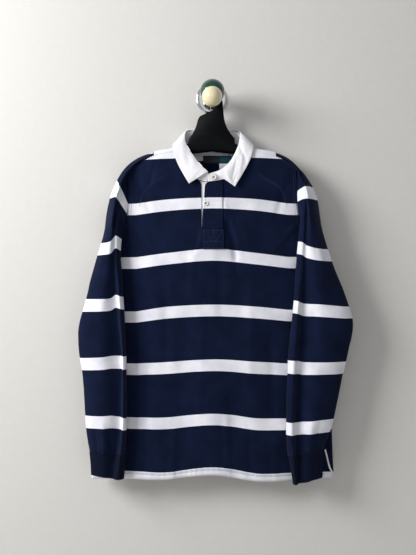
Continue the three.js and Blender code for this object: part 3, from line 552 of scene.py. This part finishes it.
BACK_CREASES = [
    {"from": (-0.120, -0.170), "to": (-0.150, -0.260), "width": 0.008, "rise": -0.0020},
    {"from": (0.150, -0.180), "to": (0.170, -0.290), "width": 0.008, "rise": -0.0020},
    {"from": (-0.060, -0.300), "to": (-0.066, -0.520), "width": 0.012, "rise": 0.0020},
    {"from": (0.080, -0.330), "to": (0.090, -0.600), "width": 0.013, "rise": -0.0020},
    {"from": (-0.160, -0.420), "to": (-0.172, -0.700), "width": 0.012, "rise": 0.0022},
    {"from": (0.020, -0.560), "to": (0.012, -0.880), "width": 0.012, "rise": 0.0019},
    {"from": (0.170, -0.600), "to": (0.182, -0.890), "width": 0.010, "rise": -0.0020},
    {"from": (-0.100, -0.740), "to": (-0.104, -0.900), "width": 0.009, "rise": -0.0020},
]
COLLAR_CREASES = [
    {"from": (0.066, -0.118), "to": (0.081, -0.160), "width": 0.0040, "rise": -0.0017},
    {"from": (0.076, -0.135), "to": (0.066, -0.190), "width": 0.0045, "rise": 0.0015},
    {"from": (0.061, -0.150), "to": (0.049, -0.204), "width": 0.0038, "rise": -0.0016},
    {"from": (0.036, -0.190), "to": (0.048, -0.213), "width": 0.0030, "rise": 0.0011},
    {"from": (0.058, -0.196), "to": (0.052, -0.214), "width": 0.0026, "rise": -0.0011},
    {"from": (-0.062, -0.128), "to": (-0.050, -0.166), "width": 0.0050, "rise": -0.0008},
    {"from": (-0.030, -0.182), "to": (-0.046, -0.204), "width": 0.0040, "rise": 0.0008},
]
LEFT_CREASES = [
    {"from": (-0.205, -0.215), "to": (-0.232, -0.330), "width": 0.006, "rise": -0.0027},
    {"from": (-0.240, -0.330), "to": (-0.262, -0.440), "width": 0.007, "rise": 0.0024},
    {"from": (-0.285, -0.470), "to": (-0.236, -0.520), "width": 0.008, "rise": -0.0031},
    {"from": (-0.300, -0.560), "to": (-0.240, -0.585), "width": 0.008, "rise": 0.0029},
    {"from": (-0.296, -0.650), "to": (-0.242, -0.640), "width": 0.009, "rise": -0.0024},
    {"from": (-0.288, -0.705), "to": (-0.232, -0.735), "width": 0.008, "rise": 0.0026},
    {"from": (-0.270, -0.780), "to": (-0.265, -0.838), "width": 0.005, "rise": -0.0027},
    {"from": (-0.250, -0.770), "to": (-0.248, -0.838), "width": 0.005, "rise": 0.0027},
    {"from": (-0.236, -0.790), "to": (-0.232, -0.838), "width": 0.004, "rise": -0.0022},
]
RIGHT_CREASES = [
    {"from": (0.212, -0.210), "to": (0.226, -0.330), "width": 0.006, "rise": -0.0027},
    {"from": (0.236, -0.300), "to": (0.262, -0.430), "width": 0.008, "rise": 0.0024},
    {"from": (0.300, -0.480), "to": (0.236, -0.520), "width": 0.008, "rise": -0.0031},
    {"from": (0.318, -0.575), "to": (0.240, -0.592), "width": 0.009, "rise": 0.0029},
    {"from": (0.300, -0.660), "to": (0.228, -0.650), "width": 0.009, "rise": -0.0026},
    {"from": (0.284, -0.715), "to": (0.222, -0.742), "width": 0.008, "rise": 0.0027},
    {"from": (0.250, -0.775), "to": (0.243, -0.832), "width": 0.005, "rise": -0.0027},
    {"from": (0.232, -0.770), "to": (0.228, -0.836), "width": 0.005, "rise": 0.0027},
    {"from": (0.214, -0.790), "to": (0.212, -0.838), "width": 0.004, "rise": -0.0022},
]


# A crease is left out beyond this many half widths
CREASE_REACH = 3


def crease_rise(creases, place):
    total = 0.0
    for crease in creases:
        ax, az = crease["from"]
        bx, bz = crease["to"]
        dx, dz = bx - ax, bz - az
        along = clamp(((place.x - ax) * dx + (place.z - az) * dz) / (dx * dx + dz * dz))
        away = math.hypot(place.x - ax - along * dx, place.z - az - along * dz) / crease["width"]
        if away < CREASE_REACH:
            fade = math.sin(math.pi * clamp(0.12 + 0.76 * along)) ** 0.5
            total += crease["rise"] * fade * math.exp(-away * away)
    return total


def ripple(place, stretch, size, seed):
    """Slow unevenness of hanging cloth, longer in height than in width."""
    where = Vector((place.x * stretch, seed, place.z * stretch * 0.45))
    return noise.noise(where) * size


def hem_pucker(place, line, depth, pitch, size):
    """Small upright puckers that a sewn line pulls up, dying away from it."""
    away = abs(place.z - line) / depth
    wave = math.sin(place.x * 2 * math.pi / pitch + 2.1 * noise.noise(Vector((place.x * 40, 3.3, 0))))
    return size * wave * math.exp(-away * away)


def front_rise(place):
    rise = crease_rise(FRONT_CREASES, place) + ripple(place, 26, 0.0016, 1.7)
    hem_line = between(BODY_ACROSS, BODY_STRIPES[6]["tops"], place.x) - 0.005
    rise += hem_pucker(place, hem_line, 0.012, 0.0130, 0.00045)
    return rise


def back_rise(place):
    rise = crease_rise(BACK_CREASES, place) + ripple(place, 24, 0.0016, 5.2)
    rise += hem_pucker(place, -0.893, 0.012, 0.0140, 0.00045)
    return rise


# The sleeve cap near the seam stays as smooth as the solid
CAP_EDGE_X = 0.19
CAP_FOOT = -0.2
CAP_TOP = -0.150
CAP_FADE = 0.05


def sleeve_rise(creases, seed, foot):
    def rise(place):
        if abs(place.x) < CAP_EDGE_X and place.z > CAP_FOOT:
            return 0.0
        fade = clamp((CAP_TOP - place.z) / CAP_FADE)
        return fade * (crease_rise(creases, place) + ripple(place, 34, 0.0017, seed)
                       + hem_pucker(place, foot, 0.020, 0.0105, 0.0007))
    return rise


def make_front():
    bm = smooth_sheet("front_draft", outer_faces("front", from_front), 3)
    lift(bm, front_rise)
    return cloth_piece("front_panel", bm, JERSEY, STRIPED, "front", BODY_STRIPES, BODY_ACROSS)


def make_back():
    bm = smooth_sheet("back_draft", outer_faces("back", from_ridge), 3)
    lift(bm, back_rise)
    return cloth_piece("back_panel", bm, JERSEY, STRIPED, "back", BODY_STRIPES, BODY_ACROSS)


def make_sleeve(node, middle, creases, stripes, across, foot, seed):
    bm = smooth_sheet(node + "_draft", outer_faces(node, from_middle(middle, SLEEVE_MIDDLE_Y)), 2)
    lift(bm, sleeve_rise(creases, seed, foot))
    return cloth_piece(node + "_cloth", bm, JERSEY, STRIPED, node, stripes, across)


RIB_COUNT = 84
RIB_RISE = 0.00035


def make_cuff(node, middle):
    bm = smooth_sheet(node + "_draft", outer_faces(node, from_middle(middle, SLEEVE_MIDDLE_Y)), 3)

    def rise(place):
        turn = math.atan2(place.y - SLEEVE_MIDDLE_Y, place.x - middle)
        return RIB_RISE * math.sin(turn * RIB_COUNT)
    lift(bm, rise)
    return cloth_piece(node + "_cloth", bm, JERSEY, RIB_KNIT, node)


def make_collar():
    bm = smooth_sheet("collar_draft", outer_faces("collar", from_middle(0.0, NECK_MIDDLE_Y)), 3)

    def rise(place):
        return ripple(place, 60, 0.0014, 2.2) + crease_rise(COLLAR_CREASES, place)
    lift(bm, rise)
    return cloth_piece("collar_leaf", bm, TWILL, WHITE_TWILL, "collar")


def make_neckband():
    bm = smooth_sheet("neckband_draft", outer_faces("neckband", from_middle(0.0, NECK_MIDDLE_Y)), 3)
    return cloth_piece("neckband_cloth", bm, TWILL, WHITE_TWILL, "neckband")


def make_front_strip(node, name, material, rise, stripes=None):
    bm = smooth_sheet(node + "_draft", outer_faces(node, from_front), 3)
    lift(bm, rise)
    return cloth_piece(name, bm, TWILL, material, node, stripes, BODY_ACROSS if stripes else None)


FLY_WAVE = 0.0002
FLY_WAVE_PITCH = 0.011
PATCH_LINE_WIDTH = 0.0016
PATCH_LINE_DEPTH = 0.0007


def fly_rise(place):
    return front_rise(place) + FLY_WAVE * math.sin(place.z * 2 * math.pi / FLY_WAVE_PITCH)


def under_rise(place):
    return front_rise(place) + UNDER_RISE


def patch_rise(place):
    """The patch is quilted down along its stitched box and two triangles."""
    depth = 0.0
    for a, b in PATCH_LINES:
        edge = b - a
        point = Vector((place.x, place.z))
        along = clamp((point - a).dot(edge) / edge.length_squared)
        away = (point - a - edge * along).length / PATCH_LINE_WIDTH
        depth = max(depth, math.exp(-away * away))
    return front_rise(place) - PATCH_LINE_DEPTH * depth


PATCH_INSET = 0.0030
PATCH_CORNERS = {
    "left": PATCH["left"] + PATCH_INSET, "right": PATCH["right"] - PATCH_INSET,
    "top": PATCH["top"] - PATCH_INSET, "foot": PATCH["foot"] + PATCH_INSET,
}


def patch_lines():
    left, right = PATCH_CORNERS["left"], PATCH_CORNERS["right"]
    top, foot = PATCH_CORNERS["top"], PATCH_CORNERS["foot"]
    middle = (left + right) / 2
    box = [Vector((left, top)), Vector((right, top)), Vector((right, foot)), Vector((left, foot))]
    lines = [(box[index], box[(index + 1) % 4]) for index in range(4)]
    waist = foot + (top - foot) * 0.36
    lines.append((Vector((left, waist)), Vector((right, waist))))
    lines.append((Vector((left, top)), Vector((middle - 0.004, waist))))
    lines.append((Vector((middle - 0.004, waist)), Vector((middle, top))))
    lines.append((Vector((middle, top)), Vector((middle + 0.004, waist))))
    lines.append((Vector((middle + 0.004, waist)), Vector((right, top))))
    return lines


PATCH_LINES = patch_lines()

front = make_front()
back = make_back()
sleeve_left = make_sleeve(
    "sleeve_left", -SLEEVE_MIDDLE_X, LEFT_CREASES, LEFT_STRIPES, LEFT_ACROSS, LEFT_SLEEVE_FOOT, 3.1
)
sleeve_right = make_sleeve(
    "sleeve_right", SLEEVE_MIDDLE_X, RIGHT_CREASES, RIGHT_STRIPES, RIGHT_ACROSS, RIGHT_SLEEVE_FOOT, 8.4
)
cuff_left = make_cuff("cuff_left", -SLEEVE_MIDDLE_X)
cuff_right = make_cuff("cuff_right", RIGHT_CUFF_X)
collar = make_collar()
neckband = make_neckband()
fly = make_front_strip("placket_over", "placket_fly", STRIPED, fly_rise, BODY_STRIPES)
under = make_front_strip("placket_under", "placket_under_cloth", WHITE_TWILL, under_rise)
patch = make_front_strip("throat_patch", "throat_patch_cloth", NAVY_TWILL, patch_rise)


# Tape, label and tag inside the back of the neck
def make_inside_strip(node, name, material):
    bm = smooth_sheet(node + "_draft", outer_faces(node, from_front), 2)
    lift(bm, lambda place: ripple(place, 90, 0.0004, 4.4))
    return cloth_piece(name, bm, TAPE, material, node)


neck_tape = make_inside_strip("neck_tape", "neck_tape_cloth", WHITE_TWILL)
label = make_inside_strip("label", "label_cloth", LABEL_CLOTH)
care_tag = make_inside_strip("care_tag", "care_tag_cloth", WHITE_TWILL)


# Sewing thread, laid on the cloth as short raised dashes
def surface_of(piece):
    graph = bpy.context.evaluated_depsgraph_get()
    return BVHTree.FromObject(piece, graph)


STITCH_LENGTH = 0.0030
STITCH_GAP = 0.0010
THREAD_RADIUS = 0.00046


def laid_on(tree, x, z, looking):
    start = Vector((x, -0.3 if looking > 0 else 0.1, z))
    hit = tree.ray_cast(start, Vector((0.0, looking, 0.0)))
    return (hit[0], hit[1]) if hit[0] else (None, None)


def add_stitch(bm, start, end, normal):
    """One dash of thread: a six-sided capsule, part sunk in the cloth."""
    along = (end - start).normalized()
    middle = (start + end) / 2 + normal * THREAD_RADIUS * 0.35
    made = bmesh.ops.create_icosphere(bm, subdivisions=1, radius=THREAD_RADIUS)
    stretch = (end - start).length / 2 / THREAD_RADIUS
    turn = Vector((0.0, 0.0, 1.0)).rotation_difference(along).to_matrix()
    for vert in made["verts"]:
        vert.co = middle + turn @ Vector((vert.co.x, vert.co.y, vert.co.z * stretch))


def sew(name, lines, pieces, material, looking=1.0):
    """Dashes along each line of (x, z) points, on whichever cloth lies nearest the eye."""
    trees = [surface_of(piece) for piece in pieces]
    bm = bmesh.new()
    for line in lines:
        places = []
        for (ax, az), (bx, bz) in zip(line, line[1:]):
            count = max(int(math.hypot(bx - ax, bz - az) / (STITCH_LENGTH + STITCH_GAP)), 1)
            for step in range(count):
                share = step / count
                tail = share + STITCH_LENGTH / (STITCH_LENGTH + STITCH_GAP) / count
                places.append(((lerp(ax, bx, share), lerp(az, bz, share)),
                               (lerp(ax, bx, tail), lerp(az, bz, tail))))
        for head, tail in places:
            hits = []
            for tree in trees:
                start, normal = laid_on(tree, *head, looking)
                end, _ = laid_on(tree, *tail, looking)
                if start and end and (end - start).length < STITCH_LENGTH * 2:
                    hits.append((start, end, normal))
            if hits:
                start, end, normal = min(hits, key=lambda hit: hit[0].y * looking)
                add_stitch(bm, start, end, normal)
    mesh = bpy.data.meshes.new(name)
    bm.to_mesh(mesh)
    bm.free()
    for face in mesh.polygons:
        face.use_smooth = True
    thread = link(name, mesh)
    mesh.materials.append(material)
    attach(thread, ROOT)
    return thread


def hem_line(drop):
    xs = [lerp(-0.262, 0.268, step / 30) for step in range(31)]
    return [(x, between(BODY_ACROSS, BODY_STRIPES[6]["tops"], x) - drop) for x in xs]


# Edge of the patches inside the shoulders, sewn with twin needles
LEFT_YOKE = [(-0.098, -0.190), (-0.122, -0.200), (-0.142, -0.210), (-0.153, -0.223), (-0.163, -0.241),
             (-0.168, -0.262)]
RIGHT_YOKE = [(0.109, -0.188), (0.127, -0.200), (0.146, -0.208), (0.164, -0.221), (0.172, -0.240),
              (0.178, -0.262)]
TWIN = 0.0055


def beside(line, offset):
    """The line moved down by an offset."""
    return [(x, z - offset) for x, z in line]


def armhole_line(edge, side, inset):
    return [(x - side * inset, z) for x, z in edge]


LEFT_ARMHOLE = [(-0.134, -0.143), (-0.158, -0.155), (-0.178, -0.165), (-0.189, -0.174), (-0.199, -0.188),
                (-0.197, -0.214), (-0.194, -0.257), (-0.201, -0.300), (-0.224, -0.345)]
RIGHT_ARMHOLE = [(0.153, -0.143), (0.176, -0.155), (0.192, -0.165), (0.199, -0.174), (0.202, -0.188),
                 (0.2025, -0.214), (0.2025, -0.257), (0.210, -0.300), (0.234, -0.345)]

front_lines = [hem_line(0.0035), hem_line(0.0060)]
for yoke in (LEFT_YOKE, RIGHT_YOKE):
    front_lines += [yoke, beside(yoke, TWIN)]
for edge, side in ((LEFT_ARMHOLE, -1), (RIGHT_ARMHOLE, 1)):
    front_lines += [armhole_line(edge, side, 0.003), armhole_line(edge, side, 0.0085)]
sew("front_stitches", front_lines, [front], NAVY_THREAD)

back_lines = [[(x, BACK_HEM_STITCH) for x in (-0.262, 0.0, 0.268)]]
for edge, side in ((LEFT_ARMHOLE, -1), (RIGHT_ARMHOLE, 1)):
    back_lines += [armhole_line(edge, side, 0.004), armhole_line(edge, side, 0.0095)]
sew("back_stitches", back_lines, [back], NAVY_THREAD, -1.0)

fly_lines = [
    [(FLY_STITCH_X - 0.001, -0.222), (FLY_STITCH_X - 0.001, -0.316)],
    [(-0.0065, -0.216), (-0.0140, -0.249), (-0.0182, -0.290), (-0.0185, -0.316)],
]
sew("fly_stitches", fly_lines, [fly], NAVY_THREAD)
sew(
    "patch_stitches", [[(a.x, a.y), (b.x, b.y)] for a, b in PATCH_LINES], [patch], NAVY_THREAD
)

LEFT_LEAF = [(-0.0115, -0.1960), (-0.0480, -0.2100), (-0.0560, -0.1990), (-0.0660, -0.1830),
             (-0.0770, -0.1610), (-0.0850, -0.1400)]
RIGHT_LEAF = [(0.0125, -0.1960), (0.0520, -0.2155), (0.0620, -0.2040), (0.0740, -0.1830), (0.0870, -0.1580),
              (0.0950, -0.1390)]
sew("collar_stitches", [LEFT_LEAF, RIGHT_LEAF], [collar], WHITE_THREAD)
sew(
    "band_stitches", [[(-0.0080, -0.2085), (0.0100, -0.2070), (0.0260, -0.2020)]], [neckband, fly],
    WHITE_THREAD,
)


# The white tape that finishes the side vent, seen beside the right cuff
VENT_LINE = [(0.2700, -0.8390), (0.2735, -0.8520), (0.2775, -0.8690), (0.2815, -0.8835), (0.2860, -0.8905),
             (0.2905, -0.8935)]
VENT_WIDTH = 0.0034
VENT_RISE = 0.0006
VENT_LIMIT = 0.2875
VENT_SLANT = 0.4


def make_vent_tape():
    tree = surface_of(front)
    bm = bmesh.new()
    rows = []
    for x, z in VENT_LINE:
        row = []
        for side in (-0.5, 0.5):
            across = min(x + side * VENT_WIDTH, VENT_LIMIT)
            place, _ = laid_on(tree, across, z + side * VENT_WIDTH * VENT_SLANT, 1.0)
            row.append(bm.verts.new(place + Vector((0.0, -VENT_RISE, 0.0))))
        rows.append(row)
    for upper, lower in zip(rows, rows[1:]):
        bm.faces.new((upper[0], lower[0], lower[1], upper[1]))
    mesh = bpy.data.meshes.new("vent_tape")
    bm.to_mesh(mesh)
    bm.free()
    tape = link("vent_tape", mesh)
    mesh.materials.append(WHITE_TWILL)
    wall = tape.modifiers.new("wall", "SOLIDIFY")
    wall.thickness = VENT_RISE
    wall.offset = -1.0
    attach(tape, ROOT)
    return tape


make_vent_tape()


# Wall hook and buttons
def smooth_shell(name, bm, material, node):
    bmesh.ops.recalc_face_normals(bm, faces=bm.faces)
    mesh = bpy.data.meshes.new(name)
    bm.to_mesh(mesh)
    bm.free()
    for face in mesh.polygons:
        face.use_smooth = True
    piece = link(name, mesh)
    mesh.materials.append(material)
    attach(piece, ROOT)
    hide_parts(node)
    return piece


def make_ball(name, node, material):
    low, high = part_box(node)
    centre = (Vector(low) + Vector(high)) / 2
    radius = (high[0] - low[0]) / 2
    bm = bmesh.new()
    bmesh.ops.create_uvsphere(bm, u_segments=64, v_segments=40, radius=radius)
    bmesh.ops.translate(bm, verts=bm.verts, vec=centre)
    return smooth_shell(name, bm, material, node)


def spun(profile, centre, steps):
    """A closed turned form about Y, from (radius, y) points that start and end on the axis."""
    bm = bmesh.new()
    verts = [bm.verts.new((radius, y, 0.0)) for radius, y in profile]
    edges = [bm.edges.new(pair) for pair in zip(verts, verts[1:])]
    bmesh.ops.spin(
        bm, geom=verts + edges, cent=(0.0, 0.0, 0.0), axis=(0.0, 1.0, 0.0), angle=2 * math.pi, steps=steps,
        use_merge=True,
    )
    bmesh.ops.remove_doubles(bm, verts=bm.verts, dist=0.00001)
    bmesh.ops.translate(bm, verts=bm.verts, vec=centre)
    return bm


PLATE_RADIUS = 36.7 * MM
PLATE_PROFILE = [
    (0.0, 0.0), (PLATE_RADIUS, 0.0), (PLATE_RADIUS, -0.0013), (PLATE_RADIUS - 0.0008, -0.0027),
    (PLATE_RADIUS - 0.0028, -0.0038), (PLATE_RADIUS - 0.0060, -0.0045), (PLATE_RADIUS - 0.0100, -0.0050),
    (0.0, -0.0050),
]
smooth_shell("hook_plate", spun(PLATE_PROFILE, Vector((0, 0, 0)), 96), CHROME, "wall_plate")
make_ball("green_ball", "ball_green", GREEN_RESIN)
make_ball("cream_ball", "ball_cream", CREAM_RESIN)


def make_rod(node, name):
    """The CAD arm with its faces divided and rounded."""
    bm = bmesh.new()
    bm.from_mesh(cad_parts[node].data)
    bmesh.ops.remove_doubles(bm, verts=bm.verts, dist=MERGE_DISTANCE)
    bmesh.ops.join_triangles(
        bm, faces=bm.faces, angle_face_threshold=math.radians(40), angle_shape_threshold=math.radians(60)
    )
    smooth = smooth_sheet(name + "_draft", bm, 2)
    return smooth_shell(name, smooth, CHROME, node)


make_rod("arm_upper", "hook_arm_upper")
make_rod("arm_lower", "hook_arm_lower")

HOLE_RADIUS = 0.0009
HOLE_SPREAD = 0.0017


def make_button(node, name):
    """A round rubber button with a raised rim; make_button_thread lays the cross of thread in its four
    holes.
    """
    low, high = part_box(node)
    centre = Vector(((low[0] + high[0]) / 2, high[1], (low[2] + high[2]) / 2))
    radius = (high[0] - low[0]) / 2
    thick = high[1] - low[1]
    profile = [
        (0.0, 0.0), (radius * 0.90, 0.0), (radius, -thick * 0.35), (radius, -thick * 0.72),
        (radius * 0.93, -thick * 0.95), (radius * 0.84, -thick), (radius * 0.74, -thick * 0.93),
        (radius * 0.64, -thick * 0.78), (0.0, -thick * 0.74),
    ]
    return smooth_shell(name, spun(profile, centre, 48), RUBBER, node)


def make_button_thread(node, name):
    low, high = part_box(node)
    thick = high[1] - low[1]
    face = Vector(((low[0] + high[0]) / 2, high[1] - thick * 0.76, (low[2] + high[2]) / 2))
    bm = bmesh.new()
    for side in (-1, 1):
        for offset in (-0.0003, 0.0003):
            start = face + Vector((-HOLE_SPREAD + offset, 0.0, -HOLE_SPREAD * side))
            end = face + Vector((HOLE_SPREAD + offset, 0.0, HOLE_SPREAD * side))
            add_stitch(bm, start, end, Vector((0.0, -1.0, 0.0)))
        for other in (-1, 1):
            made = bmesh.ops.create_uvsphere(bm, u_segments=10, v_segments=6, radius=HOLE_RADIUS)
            spot = face + Vector((HOLE_SPREAD * side, 0.0, HOLE_SPREAD * other))
            for vert in made["verts"]:
                vert.co = spot + Vector((vert.co.x, vert.co.y * 0.2, vert.co.z))
    mesh = bpy.data.meshes.new(name)
    bm.to_mesh(mesh)
    bm.free()
    thread = link(name, mesh)
    mesh.materials.append(NAVY_THREAD)
    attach(thread, ROOT)
    return thread


make_button("button_neck", "neck_button")
make_button("button_placket", "placket_button")
make_button_thread("button_neck", "neck_button_thread")
make_button_thread("button_placket", "placket_button_thread")


# The hanger, shaded smooth except across edges sharper than 34 degrees
def make_hanger():
    bm = bmesh.new()
    bm.from_mesh(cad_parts["hanger"].data)
    bmesh.ops.remove_doubles(bm, verts=bm.verts, dist=MERGE_DISTANCE)
    mesh = bpy.data.meshes.new("moulded_hanger")
    bm.to_mesh(mesh)
    bm.free()
    for face in mesh.polygons:
        face.use_smooth = True
    mesh.set_sharp_from_angle(angle=math.radians(34))
    piece = link("moulded_hanger", mesh)
    mesh.materials.append(BLACK_PLASTIC)
    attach(piece, ROOT)
    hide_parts("hanger")
    return piece


make_hanger()


# Wall, floor, lights and camera
WALL_HALF = 2.2
WALL_Y = 0.0006
FLOOR_HALF = 3.0
FLOOR_Z = -1.75


def make_wall():
    material, tree, shader = blank_material("painted_wall")
    coordinate = tree.nodes.new("ShaderNodeTexCoord")
    roller = tree.nodes.new("ShaderNodeTexNoise")
    roller.inputs["Scale"].default_value = 60.0
    roller.inputs["Detail"].default_value = 6.0
    tree.links.new(coordinate.outputs["Object"], roller.inputs["Vector"])
    tree.links.new(mixed(tree, roller.outputs["Fac"], (0.56, 0.55, 0.53), (0.60, 0.59, 0.57)),
                   shader.inputs["Base Color"])
    bumped(tree, shader, roller.outputs["Fac"], 0.0008, 0.25)
    shader.inputs["Roughness"].default_value = 0.9
    geometry = tree.nodes.new("ShaderNodeNewGeometry")
    path = tree.nodes.new("ShaderNodeLightPath")
    clear = tree.nodes.new("ShaderNodeBsdfTransparent")
    choose = tree.nodes.new("ShaderNodeMixShader")
    see_through = math_node(tree, "MAXIMUM", geometry.outputs["Backfacing"], path.outputs["Is Shadow Ray"])
    tree.links.new(see_through, choose.inputs[0])
    tree.links.new(shader.outputs[0], choose.inputs[1])
    tree.links.new(clear.outputs[0], choose.inputs[2])
    tree.links.new(choose.outputs[0], tree.nodes["Material Output"].inputs["Surface"])
    bm = bmesh.new()
    bmesh.ops.create_grid(bm, x_segments=1, y_segments=1, size=WALL_HALF)
    for vert in bm.verts:
        vert.co = Vector((vert.co.x, WALL_Y, vert.co.y))
    bm.normal_update()
    if bm.faces[:][0].normal.y > 0:
        bmesh.ops.reverse_faces(bm, faces=bm.faces)
    mesh = bpy.data.meshes.new("wall")
    bm.to_mesh(mesh)
    bm.free()
    wall = link("wall", mesh)
    mesh.materials.append(material)
    return wall


def make_floor():
    material, tree, shader = blank_material("pale_floor")
    shader.inputs["Base Color"].default_value = (0.62, 0.61, 0.59, 1.0)
    shader.inputs["Roughness"].default_value = 0.8
    bm = bmesh.new()
    bmesh.ops.create_grid(bm, x_segments=1, y_segments=1, size=FLOOR_HALF)
    bmesh.ops.translate(bm, verts=bm.verts, vec=(0.0, 0.0, FLOOR_Z))
    mesh = bpy.data.meshes.new("floor")
    bm.to_mesh(mesh)
    bm.free()
    floor = link("floor", mesh)
    mesh.materials.append(material)
    return floor


make_wall()
make_floor()


def area_light(name, place, target, size, power, colour):
    lamp = bpy.data.lights.new(name, "AREA")
    lamp.energy = power
    lamp.size = size
    lamp.color = colour
    light = bpy.data.objects.new(name, lamp)
    light.location = place
    light.rotation_euler = (Vector(target) - Vector(place)).to_track_quat("-Z", "Y").to_euler()
    bpy.context.scene.collection.objects.link(light)


area_light("window", (-1.85, -1.20, 0.45), (0.0, 0.0, -0.42), 1.0, 72.0, (1.0, 0.995, 0.98))
area_light("room_fill", (0.6, -2.6, 0.2), (0.0, 0.0, -0.45), 2.6, 8.0, (0.99, 0.985, 0.98))
area_light("behind_left", (-1.6, 1.9, 0.6), (0.0, 0.0, -0.45), 1.0, 9.0, (1.0, 1.0, 1.0))
area_light("behind_right", (1.7, 1.7, 0.2), (0.0, 0.0, -0.45), 1.0, 5.0, (1.0, 1.0, 1.0))

world = bpy.data.worlds.new("room")
world.use_nodes = True
world.node_tree.nodes["Background"].inputs["Color"].default_value = (0.90, 0.91, 0.93, 1.0)
world.node_tree.nodes["Background"].inputs["Strength"].default_value = 0.38
bpy.context.scene.world = world
bpy.context.scene.view_settings.view_transform = "Standard"

camera_data = bpy.data.cameras.new("camera")
camera_data.lens = LENS
camera_data.sensor_width = 36.0
camera_data.clip_end = 20.0
camera = bpy.data.objects.new("camera", camera_data)
camera.location = (VIEW_SIDE, -VIEW_DISTANCE, VIEW_HEIGHT)
camera.rotation_euler = (math.radians(90), 0.0, 0.0)
bpy.context.scene.collection.objects.link(camera)
bpy.context.scene.camera = camera
